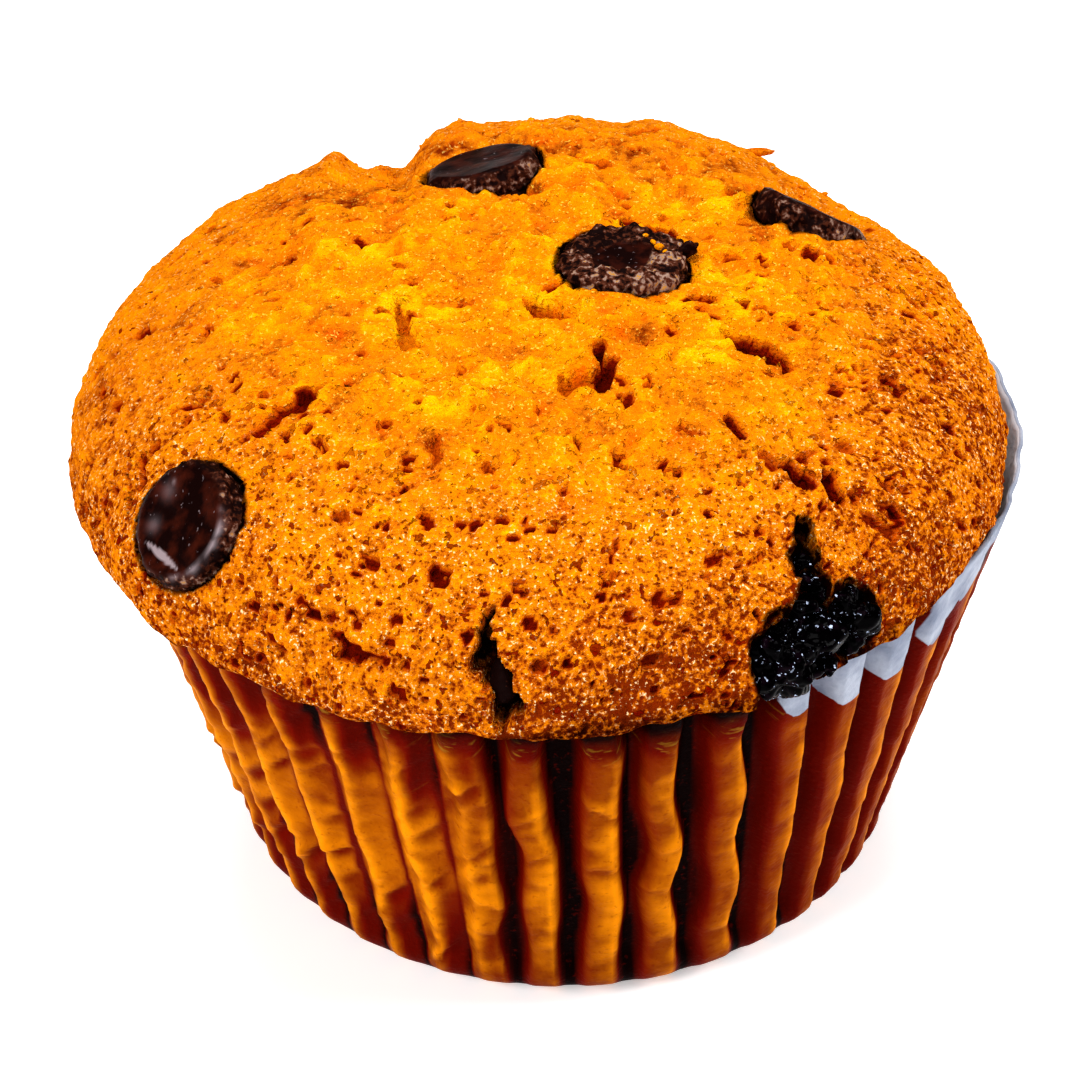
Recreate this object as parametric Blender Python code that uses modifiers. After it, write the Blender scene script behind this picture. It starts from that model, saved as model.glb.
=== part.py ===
"""A muffin in its fluted paper case: a domed crown over a fluted body, with drops and burst berries.

Metres, +Z up. The origin is the middle of the case's flat base, and the crack and berries face -Y.
"""

import math

import bmesh
import bpy
from mathutils import Matrix, Vector

MM = 0.001
GAP = 0.3 * MM
SHARP_ANGLE = math.radians(40)

# Paper case: straight fluted wall on a flat base, rounded where they meet.
FLUTES = 45
FIRST_RIDGE = math.radians(1)
BASE_RADIUS = 25.0 * MM
CORNER_RADIUS = 5.2 * MM
RIM_RADIUS = 39.2 * MM
RIM_HEIGHT = 40.3 * MM
CORNER_FLUTE_DEPTH = 0.6 * MM
LOW_FLUTE_DEPTH = 1.4 * MM
RIM_FLUTE_DEPTH = 2.4 * MM
PAPER = 0.35 * MM
# Corners of one flute: share of the pitch, and how far the corner lies between ridge (0) and valley (1).
FLUTE_CORNERS = ((-0.22, 0.0), (0.22, 0.0), (0.41, 1.0), (0.59, 1.0))
# Towards the base the flutes lean round by up to this angle on the case's right front side.
FAN_ANGLE = math.radians(9)
FAN_STARTS = (math.radians(-100), math.radians(-55))
FAN_ENDS = (math.radians(-20), math.radians(100))

# Cake: its body fills the case, and its crown spreads over the rim, a little to the front.
CAKE_INSET = PAPER + GAP
BODY_TOP = 39.7 * MM
NECK_RADIUS = 35.7 * MM
NECK_HEIGHT = 40.8 * MM
CROWN_CENTRE = (-1.8 * MM, -3.0 * MM)
CROWN_RADIUS_X = 39.4 * MM
CROWN_RADIUS_Y = 40.8 * MM
CROWN_WIDEST = 42.4 * MM
CROWN_RISE = 15.5 * MM
CROWN_POWER = 3.0
CROWN_SIDES = 2 * FLUTES
CROWN_RINGS = 9
CROWN_CENTRE_RING = 0.15
EDGE_CURL = 1.5 * MM

RELIEF_FULL_HEIGHT = 50 * MM
# Relief of the crown: centre x and y, half widths along x and y, height.
RELIEF = (
    (2.5 * MM, 25.0 * MM, 14.0 * MM, 10.0 * MM, 1.4 * MM),  # risen hump at the back
    (-15.2 * MM, 24.0 * MM, 2.9 * MM, 10.0 * MM, -3.0 * MM),  # notch beside the hump
    (-19.5 * MM, 24.0 * MM, 2.4 * MM, 7.0 * MM, 0.9 * MM),  # lip of the notch
    (27.0 * MM, 18.0 * MM, 6.0 * MM, 6.0 * MM, -0.5 * MM),  # flatter shoulder at the back right
)

# Chocolate drops: middle, direction that the flat face looks, radius, thickness.
DROPS = {
    "chocolate_drop_left": ((-28.4, -26.6, 49.5), (-0.61, -0.47, 0.64), 4.75, 3.8),
    "chocolate_drop_back": ((-6.0, 15.9, 55.5), (-0.21, 0.34, 0.91), 5.0, 3.2),
    "chocolate_drop_centre": ((5.4, -1.9, 56.8), (0.0, 0.04, 1.0), 5.3, 3.2),
    "chocolate_drop_right": ((21.6, 9.0, 54.4), (0.44, 0.41, 0.80), 4.9, 2.8),
}
DROP_STEPS = 20
DROP_EDGE = 0.9

# Burst berries in the front edge: middle and half sizes.
BERRIES = {
    "berry_front": ((15.9, -36.9, 43.9), (3.3, 3.3, 3.4)),
    "berry_side": ((21.0, -33.9, 44.6), (2.3, 2.5, 2.9)),
}
BERRY_SEGMENTS = 14
BERRY_RINGS = 9
BERRY_LUMP = 0.06

# Crack in the front edge, from the top down: a point of the crown's surface and the crack's half width.
CRACK = (
    ((-5.2, -38.9, 51.1), 0.35),
    ((-6.2, -41.1, 48.8), 0.50),
    ((-4.7, -42.9, 46.0), 0.85),
    ((-4.4, -43.6, 43.8), 0.95),
)
CRACK_DEPTH = 3.0
CRACK_OUTSIDE = 1.5
# The filling starts and ends at these shares of the crack's second and last stretches.
CRACK_FILLING_STARTS = 0.45
CRACK_FILLING_ENDS = 0.70

MATERIALS = {
    "crust": ((0.70, 0.27, 0.03, 1), 0.5),
    "greased_paper": ((0.62, 0.26, 0.04, 1), 0.55),
    "dark_chocolate": ((0.022, 0.009, 0.006, 1), 0.3),
    "berry_skin": ((0.012, 0.008, 0.016, 1), 0.25),
}


def smooth_step(value, low, high):
    share = min(1.0, max(0.0, (value - low) / (high - low)))
    return share * share * (3 - 2 * share)


def clear_scene():
    for obj in list(bpy.data.objects):
        bpy.data.objects.remove(obj, do_unlink=True)


def new_collection(name):
    made = bpy.data.collections.new(name)
    bpy.context.scene.collection.children.link(made)
    return made


def plain_material(name):
    colour, roughness = MATERIALS[name]
    made = bpy.data.materials.new(name)
    made.use_nodes = True
    shader = made.node_tree.nodes["Principled BSDF"]
    shader.inputs["Base Color"].default_value = colour
    shader.inputs["Roughness"].default_value = roughness
    shader.inputs["Metallic"].default_value = 0.0
    return made


def add_object(name, mesh_data, collection, material=None):
    mesh = bpy.data.meshes.new(name)
    mesh_data.to_mesh(mesh)
    mesh_data.free()
    obj = bpy.data.objects.new(name, mesh)
    collection.objects.link(obj)
    if material:
        mesh.materials.append(material)
        mesh.shade_smooth()
        mesh.set_sharp_from_angle(angle=SHARP_ANGLE)
    else:
        obj.hide_render = True
        obj.display_type = "WIRE"
    return obj


# Rings and lofts


def fan_shift(azimuth):
    return FAN_ANGLE * (
        smooth_step(azimuth, *FAN_STARTS) - smooth_step(azimuth, *FAN_ENDS)
    )


def offset_inwards(points, distance):
    """Move each corner of a closed outline so that every side shifts inwards by the distance."""
    if not distance:
        return points
    moved = []
    for i, here in enumerate(points):
        before = (here - points[i - 1]).normalized()
        after = (points[(i + 1) % len(points)] - here).normalized()
        inward = Vector((-before.y - after.y, before.x + after.x)).normalized()
        moved.append(here + inward * (distance / inward.dot(Vector((-before.y, before.x)))))
    return moved


def fluted_ring(ridge_radius, depth, height, inset=0.0):
    """Corners of one level of the case, from ridge to valley, moved inwards by the inset."""
    points = []
    for flute in range(FLUTES):
        for share, valley in FLUTE_CORNERS:
            azimuth = FIRST_RIDGE + math.tau * (flute + share) / FLUTES
            turned = (azimuth + math.pi) % math.tau - math.pi
            azimuth += fan_shift(turned) * (1 - height / RIM_HEIGHT)
            radius = ridge_radius - depth * valley
            points.append(Vector((radius * math.cos(azimuth), radius * math.sin(azimuth))))
    return [Vector((p.x, p.y, height)) for p in offset_inwards(points, inset)]


def case_ring_radius(height):
    wall_height = RIM_HEIGHT - CORNER_RADIUS
    low_radius = BASE_RADIUS + CORNER_RADIUS
    return low_radius + (RIM_RADIUS - low_radius) * (height - CORNER_RADIUS) / wall_height


def case_rings(top, inset=0.0):
    """Levels of the case or of the cake inside it, from the flat base up to the given height."""
    corner = CORNER_RADIUS - inset
    rings = []
    for angle, depth in ((0, 0.0), (45, CORNER_FLUTE_DEPTH), (90, LOW_FLUTE_DEPTH)):
        turn = math.radians(angle)
        radius = BASE_RADIUS + corner * math.sin(turn) + (inset if depth else 0.0)
        height = CORNER_RADIUS - corner * math.cos(turn)
        rings.append(fluted_ring(radius, depth, height, inset if depth else 0.0))
    rings.append(fluted_ring(case_ring_radius(top), RIM_FLUTE_DEPTH, top, inset))
    return rings


def join_rings(mesh_data, low, high):
    """Faces between two levels. The higher one may have fewer corners, by a whole number of times."""
    times = len(low) // len(high)
    for i in range(len(high)):
        corners = [low[(i * times + k) % len(low)] for k in range(times + 1)]
        following = high[(i + 1) % len(high)]
        for here, after in zip(corners[:-1], corners[1:-1]):
            mesh_data.faces.new((here, after, high[i]))
        mesh_data.faces.new((corners[-2], corners[-1], following))
        mesh_data.faces.new((corners[-2], following, high[i]))


def loft(rings, close_top=None):
    """Join rings, lowest first, with a flat base and, where given, a point at the top."""
    mesh_data = bmesh.new()
    levels = [[mesh_data.verts.new(point) for point in ring] for ring in rings]
    mesh_data.faces.new(reversed(levels[0]))
    for low, high in zip(levels, levels[1:]):
        join_rings(mesh_data, low, high)
    if close_top:
        top = mesh_data.verts.new(close_top)
        last = levels[-1]
        for i, corner in enumerate(last):
            mesh_data.faces.new((corner, last[(i + 1) % len(last)], top))
    return mesh_data


# Paper case


def make_case(collection):
    case = add_object(
        "paper_case", loft(case_rings(RIM_HEIGHT)), collection, plain_material("greased_paper")
    )
    wall = case.modifiers.new("paper", "SOLIDIFY")
    wall.thickness = PAPER
    wall.offset = -1
    wall.use_even_offset = True
    return case


# Cake


def crown_relief(x, y):
    height = 0.0
    for centre_x, centre_y, half_x, half_y, rise in RELIEF:
        across = (x - centre_x) / half_x
        along = (y - centre_y) / half_y
        height += rise * math.exp(-(across**2) - along**2)
    return height


def even_turns(count):
    """Azimuths of an even ring that starts where a ring of the case does."""
    first = FIRST_RIDGE + math.tau * FLUTE_CORNERS[0][0] / FLUTES
    return [first + math.tau * i / count for i in range(count)]


def neck_ring():
    turns = even_turns(FLUTES * len(FLUTE_CORNERS))
    return [Vector((NECK_RADIUS * math.cos(t), NECK_RADIUS * math.sin(t), NECK_HEIGHT)) for t in turns]


def crown_ring(share, height, curl=0.0):
    """An oval level of the crown, at a share of its full width. Its relief fades out at the edge."""
    relief_share = smooth_step(height, CROWN_WIDEST, RELIEF_FULL_HEIGHT)
    ring = []
    for azimuth in even_turns(CROWN_SIDES):
        x = CROWN_CENTRE[0] + (CROWN_RADIUS_X * share - curl) * math.cos(azimuth)
        y = CROWN_CENTRE[1] + (CROWN_RADIUS_Y * share - curl) * math.sin(azimuth)
        ring.append(Vector((x, y, height + relief_share * crown_relief(x, y))))
    return ring


def crown_rings():
    rings = [crown_ring(1.0, CROWN_WIDEST - EDGE_CURL, EDGE_CURL)]
    turns = [math.radians(90) * i / CROWN_RINGS for i in range(CROWN_RINGS)]
    shares = [math.cos(turn) ** (2 / CROWN_POWER) for turn in turns] + [CROWN_CENTRE_RING]
    for share in shares:
        rise = math.sqrt(1 - min(1.0, share**CROWN_POWER))
        rings.append(crown_ring(share, CROWN_WIDEST + CROWN_RISE * rise))
    return rings


def make_cake(collection):
    rings = case_rings(BODY_TOP, CAKE_INSET) + [neck_ring()] + crown_rings()
    x, y = CROWN_CENTRE
    top = Vector((x, y, CROWN_WIDEST + CROWN_RISE + crown_relief(x, y)))
    return add_object("cake", loft(rings, top), collection, plain_material("crust"))


def cut(obj, cutter):
    boolean = obj.modifiers.new(cutter.name, "BOOLEAN")
    boolean.operation = "DIFFERENCE"
    boolean.object = cutter


# Chocolate drops


def place_along(obj, middle, direction):
    turn = Vector((0, 0, 1)).rotation_difference(Vector(direction).normalized())
    obj.matrix_world = Matrix.LocRotScale(Vector(middle) * MM, turn, None)


def turned_disc(profile, steps):
    """Closed body of a profile of radius and height, turned about the vertical axis."""
    mesh_data = bmesh.new()
    verts = [mesh_data.verts.new((radius * MM, 0, height * MM)) for radius, height in profile]
    edges = [mesh_data.edges.new(pair) for pair in zip(verts, verts[1:])]
    bmesh.ops.spin(
        mesh_data,
        geom=verts + edges,
        cent=(0, 0, 0),
        axis=(0, 0, 1),
        angle=math.tau,
        steps=steps,
        use_merge=True,
    )
    bmesh.ops.remove_doubles(mesh_data, verts=mesh_data.verts, dist=0.01 * MM)
    bmesh.ops.recalc_face_normals(mesh_data, faces=mesh_data.faces)
    return mesh_data


def make_drop(name, collection, cutters, cake):
    middle, direction, radius, thickness = DROPS[name]
    half = thickness / 2
    profile = (
        (0.0, half),
        (radius - DROP_EDGE, half),
        (radius - DROP_EDGE * 0.2, half - DROP_EDGE * 0.45),
        (radius, 0.0),
        (radius - DROP_EDGE * 0.6, -half),
        (0.0, -half),
    )
    drop = add_object(
        name, turned_disc(profile, DROP_STEPS), collection, plain_material("dark_chocolate")
    )
    place_along(drop, middle, direction)
    room = radius + GAP / MM
    seat = ((0.0, 3 * half), (room, 3 * half), (room, -half - GAP / MM), (0.0, -half - GAP / MM))
    cutter = add_object(name + "_seat", turned_disc(seat, DROP_STEPS), cutters)
    place_along(cutter, middle, direction)
    cut(cake, cutter)


# Berries


def lumpy_ball(middle, half_sizes, spread=0.0):
    mesh_data = bmesh.new()
    bmesh.ops.create_uvsphere(
        mesh_data, u_segments=BERRY_SEGMENTS, v_segments=BERRY_RINGS, radius=1.0
    )
    for vert in mesh_data.verts:
        x, y, z = vert.co
        lump = 1 + BERRY_LUMP * math.sin(5 * x + 2 * z) * math.cos(4 * y - 3 * z)
        sides = [half * lump + spread for half in half_sizes]
        vert.co = Vector([(m + c * side) * MM for m, c, side in zip(middle, vert.co, sides)])
    return mesh_data


def make_berry(name, collection, cutters, cake):
    middle, half_sizes = BERRIES[name]
    add_object(name, lumpy_ball(middle, half_sizes), collection, plain_material("berry_skin"))
    hollow = lumpy_ball(middle, half_sizes, GAP / MM)
    cut(cake, add_object(name + "_hollow", hollow, cutters))


# Crack with chocolate showing in it


def crown_outwards(point):
    """Direction straight out of the smooth crown at a point in millimetres."""
    x = point.x * MM - CROWN_CENTRE[0]
    y = point.y * MM - CROWN_CENTRE[1]
    share = math.hypot(x / CROWN_RADIUS_X, y / CROWN_RADIUS_Y)
    across = CROWN_POWER * share ** (CROWN_POWER - 2)
    up = 2 * (point.z * MM - CROWN_WIDEST) / CROWN_RISE**2
    return Vector(
        (across * x / CROWN_RADIUS_X**2, across * y / CROWN_RADIUS_Y**2, up)
    ).normalized()


def crack_body(stations, outside, inside):
    """A strip that follows the crack, from a depth outside the crown's surface to one inside it."""
    mesh_data = bmesh.new()
    levels = []
    for i, (point, half_width) in enumerate(stations):
        here = Vector(point)
        before = Vector(stations[max(i - 1, 0)][0])
        after = Vector(stations[min(i + 1, len(stations) - 1)][0])
        out = crown_outwards(here)
        side = (after - before).cross(out).normalized() * half_width
        corners = (
            here + out * outside - side,
            here + out * outside + side,
            here - out * inside + side,
            here - out * inside - side,
        )
        levels.append([mesh_data.verts.new(corner * MM) for corner in corners])
    for high, low in zip(levels, levels[1:]):
        for i in range(4):
            j = (i + 1) % 4
            mesh_data.faces.new((high[i], high[j], low[j], low[i]))
    mesh_data.faces.new(reversed(levels[0]))
    mesh_data.faces.new(levels[-1])
    bmesh.ops.recalc_face_normals(mesh_data, faces=mesh_data.faces)
    return mesh_data


def between(station, following, share):
    """A station of the crack part of the way from one to the next."""
    half_width = station[1] + (following[1] - station[1]) * share
    return Vector(station[0]).lerp(Vector(following[0]), share), half_width


def make_crack(collection, cutters, cake):
    cut(cake, add_object("crack", crack_body(CRACK, CRACK_OUTSIDE, CRACK_DEPTH), cutters))
    gap = GAP / MM
    filled = (
        between(CRACK[1], CRACK[2], CRACK_FILLING_STARTS),
        CRACK[2],
        between(CRACK[2], CRACK[3], CRACK_FILLING_ENDS),
    )
    stations = [(point, half_width - gap) for point, half_width in filled]
    filling = crack_body(stations, -gap, CRACK_DEPTH - gap)
    add_object("chocolate_in_crack", filling, collection, plain_material("dark_chocolate"))


def main():
    clear_scene()
    muffin = new_collection("muffin")
    cutters = new_collection("muffin_cutters")
    make_case(muffin)
    cake = make_cake(muffin)
    for name in DROPS:
        make_drop(name, muffin, cutters, cake)
    for name in BERRIES:
        make_berry(name, muffin, cutters, cake)
    make_crack(muffin, cutters, cake)


main()
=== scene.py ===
import math

import bpy
import numpy as np
from mathutils import Matrix, Vector, noise


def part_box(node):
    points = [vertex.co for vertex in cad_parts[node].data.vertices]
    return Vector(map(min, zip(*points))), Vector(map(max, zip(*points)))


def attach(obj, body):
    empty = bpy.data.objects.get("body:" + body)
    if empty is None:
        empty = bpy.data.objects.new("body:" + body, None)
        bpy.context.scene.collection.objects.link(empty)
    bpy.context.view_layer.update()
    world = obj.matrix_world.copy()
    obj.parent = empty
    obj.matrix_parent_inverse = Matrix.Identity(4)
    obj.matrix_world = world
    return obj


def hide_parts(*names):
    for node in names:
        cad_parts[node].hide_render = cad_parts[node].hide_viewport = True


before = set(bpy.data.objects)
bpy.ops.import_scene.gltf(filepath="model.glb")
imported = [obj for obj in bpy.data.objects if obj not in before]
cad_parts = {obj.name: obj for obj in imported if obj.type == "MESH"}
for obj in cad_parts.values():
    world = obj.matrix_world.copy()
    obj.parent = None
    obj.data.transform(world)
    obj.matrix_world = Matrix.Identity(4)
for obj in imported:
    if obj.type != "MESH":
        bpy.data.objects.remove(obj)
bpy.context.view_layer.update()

mm = 0.001
dice = np.random.default_rng(11)


# An sRGB hex colour as linear red, green, blue and alpha
def toLinear(hexColour):
    values = [int(hexColour[i : i + 2], 16) / 255 for i in (1, 3, 5)]
    return [v / 12.92 if v <= 0.04045 else ((v + 0.055) / 1.055) ** 2.4 for v in values] + [1.0]


# One node with its settings (its attributes first, its sockets otherwise) and what feeds it. Gives one output
def addNode(tree, kind, settings=None, links=None, out=0):
    node = tree.nodes.new(kind)
    for name, value in (settings or {}).items():
        if isinstance(name, str) and hasattr(node, name):
            setattr(node, name, value)
        else:
            node.inputs[name].default_value = value
    for socket, source in (links or {}).items():
        tree.links.new(source, node.inputs[socket])
    return node.outputs[out]


def newMaterial(name):
    material = bpy.data.materials.new(name)
    material.use_nodes = True
    return material, material.node_tree, material.node_tree.nodes["Principled BSDF"]


# Rises softly from 0 at `low` to 1 at `high`
def fade(values, low, high):
    share = np.clip((np.asarray(values, float) - low) / (high - low), 0.0, 1.0)
    return share * share * (3 - 2 * share)


# Smooth noise of about -1 to 1 at points in millimetres, its lumps about `size` apart
def grainOf(points, size, seed):
    shifted = points / size + np.array((seed * 13.7, seed * 5.3, -seed * 9.1))
    return 1.4 * np.array([noise.noise(p) for p in shifted.tolist()])


# Such noises added up, each with its size, seed and amount
def layered(points, layers):
    return sum(amount * grainOf(points, size, seed) for size, seed, amount in layers)


# Distance to the nearest and to the second nearest of random points about `size` apart
def cellsOf(points, size, seed):
    shifted = points / size + np.array((seed * 3.9, -seed * 7.7, seed * 2.3))
    gaps = np.array([noise.voronoi(p)[0][:2] for p in shifted.tolist()])
    return gaps[:, 0], gaps[:, 1]


# Cells of crumb about `size` apart: a random number for each point's cell, and 0 at its edge to 1 inside
def crumbCells(points, size, seed):
    shifted = points / size + np.array((seed * 2.9, seed * 6.7, -seed * 4.3))
    found = [noise.voronoi(p) for p in shifted.tolist()]
    gaps = np.array([distances[:2] for distances, _ in found])
    homes = np.array([tuple(places[0]) for _, places in found])
    luck = np.abs(np.sin(homes @ np.array((127.1, 311.7, 74.7))) * 43758.5453) % 1.0
    return luck, fade(gaps[:, 1] - gaps[:, 0], 0.02, 0.24)


def clearSelection():
    if bpy.context.object and bpy.context.object.mode != "OBJECT":
        bpy.ops.object.mode_set(mode="OBJECT")
    bpy.ops.object.select_all(action="DESELECT")


def readVectors(obj, name):
    vectors = np.empty(len(obj.data.vertices) * 3)
    obj.data.vertices.foreach_get(name, vectors)
    return vectors.reshape(-1, 3)


def readPoints(obj):
    return readVectors(obj, "co") / mm


def writePoints(obj, points):
    obj.data.vertices.foreach_set("co", (np.asarray(points) * mm).ravel())
    obj.data.update()


def readNormals(obj):
    return readVectors(obj, "normal")


# A number on each vertex, which the piece's material reads
def writeMark(obj, name, values):
    mark = obj.data.attributes.new(name, "FLOAT", "POINT")
    mark.data.foreach_set("value", np.ascontiguousarray(values, np.float32))


# Gives a piece its materials and soft shading, hangs it on the root body, and hides the CAD part it stands
# for
def finishPiece(obj, materials, node):
    for material in materials:
        obj.data.materials.append(material)
    clearSelection()
    obj.select_set(True)
    bpy.context.view_layer.objects.active = obj
    bpy.ops.object.shade_smooth()
    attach(obj, "root")
    if node:
        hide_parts(node)


# Names the object just added, and its mesh
def nameNew(name):
    obj = bpy.context.object
    obj.name = name
    obj.data.name = name
    return obj


# A grid whose square is pulled round. Gives the object, each vertex's share of the radius and its azimuth
def gridDisc(name, cells):
    clearSelection()
    bpy.ops.mesh.primitive_grid_add(x_subdivisions=cells, y_subdivisions=cells, size=2)
    obj = nameNew(name)
    x, y = readVectors(obj, "co")[:, :2].T
    wide = np.abs(x) >= np.abs(y)
    reach = np.where(wide, x, y)
    other = np.where(wide, y, x)
    turn = np.divide(other, reach, out=np.zeros_like(reach), where=np.abs(reach) > 1e-9) * math.pi / 4
    azimuth = np.where(wide, turn, math.pi / 2 - turn) + np.where(reach < 0, math.pi, 0.0)
    return obj, np.abs(reach), azimuth


# Leaves the object in edit mode with its open edge selected
def edgeLoop(obj):
    bpy.context.view_layer.objects.active = obj
    bpy.ops.object.mode_set(mode="EDIT")
    bpy.ops.mesh.select_mode(type="EDGE")
    bpy.ops.mesh.select_all(action="DESELECT")
    bpy.ops.mesh.select_non_manifold()


# Fills the selected edge, turns the faces outwards and leaves edit mode
def closeEdge():
    bpy.ops.mesh.edge_face_add()
    bpy.ops.mesh.select_all(action="SELECT")
    bpy.ops.mesh.normals_make_consistent(inside=False)
    bpy.ops.object.mode_set(mode="OBJECT")


# Extrudes the open edge once for each ring, a function that gives the new edge's points from their azimuth
def extrudeEdge(obj, rings):
    for place in rings:
        edgeLoop(obj)
        bpy.ops.mesh.extrude_edges_move()
        bpy.ops.object.mode_set(mode="OBJECT")
        chosen = np.empty(len(obj.data.vertices), bool)
        obj.data.vertices.foreach_get("select", chosen)
        points = readPoints(obj)
        azimuth = np.arctan2(points[chosen, 1], points[chosen, 0])
        points[chosen] = place(azimuth)
        writePoints(obj, points)
    edgeLoop(obj)
    closeEdge()


# Paper case: its fluted shape, which the cake's body follows too

case = {
    "flutes": 45,
    "firstRidge": 1.0,  # degrees
    "baseRadius": 25.0,  # mm, as all lengths here
    "cornerRadius": 5.2,
    "rimRadius": 39.2,
    "rimHeight": 40.3,
    "fluteDepth": (0.0, 1.4, 2.4),  # at the base, above the rounded corner and at the rim
    "rimPull": 2.0,
    "paper": 0.35,
    "meanRadius": 36.0,
    "fluteWidth": 5.2,
    "fan": 9.0,  # degrees that the flutes lean round on the right front side
    "sidesAFlute": 14,
    "rows": 62,
    "cornerShare": 0.13,  # of the rows
    "baseRings": (0.8, 0.6, 0.4),  # each of the one outside it
    "sag": 9.0,  # of a wrinkle from a flute to the next, if it went on that far
    "clear": (-48, -34, 120, 140),  # degrees where the rim starts and ends to stand clear of the crown
    "covered": (36.4, 38.8),  # height of the crown's edge against the paper, in front and at the sides
    "knots": (1, 8, 14, 20, 27, 34, 39),  # heights where a flute may bend
    "tongueRadius": 38.5,
    # Dry paper, tongues that hang from the rim: azimuth in degrees, height of the tip, half width
    "tongues": (
        (-115.0, 36.4, 0.8),
        (-75.6, 37.4, 1.3),
        (-61.7, 35.0, 1.9),
        (-53.7, 33.6, 2.6),
        (-45.9, 33.4, 2.6),
        (-36.6, 33.2, 2.6),
        (-31.0, 35.6, 2.4),
    ),
}


# How far the flutes lean at their foot, in radians
def fanOf(azimuth):
    turned = np.degrees((azimuth + math.pi) % math.tau - math.pi)
    return np.radians(case["fan"]) * (fade(turned, -100, -55) - fade(turned, -20, 100))


# Radius of the ridges of the flutes at a height above the table
def ridgeRadius(height):
    corner = case["cornerRadius"]
    lowRadius = case["baseRadius"] + corner
    wall = lowRadius + (case["rimRadius"] - lowRadius) * (height - corner) / (case["rimHeight"] - corner)
    drop = np.clip(1 - height / corner, 0, 1)
    bend = case["baseRadius"] + corner * np.sqrt(np.clip(1 - drop**2, 0, 1))
    return np.where(height >= corner, wall, bend)


def fluteDepth(height):
    low, middle, high = case["fluteDepth"]
    corner = case["cornerRadius"]
    above = middle + (high - middle) * (height - corner) / (case["rimHeight"] - corner)
    return np.where(height >= corner, above, low + (middle - low) * np.clip(height / corner, 0, 1) ** 1.5)


# How far the rim leans in behind the right side, as the crown does there
def rimPull(azimuth, height):
    turned = np.degrees((azimuth + math.pi) % math.tau - math.pi)
    behind = fade(turned, 3, 20) * (1 - fade(turned, 60, 85))
    return case["rimPull"] * behind * fade(height, 30, case["rimHeight"])


# Cake: a domed crown that spreads over the rim, on a body that fills the case

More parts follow.
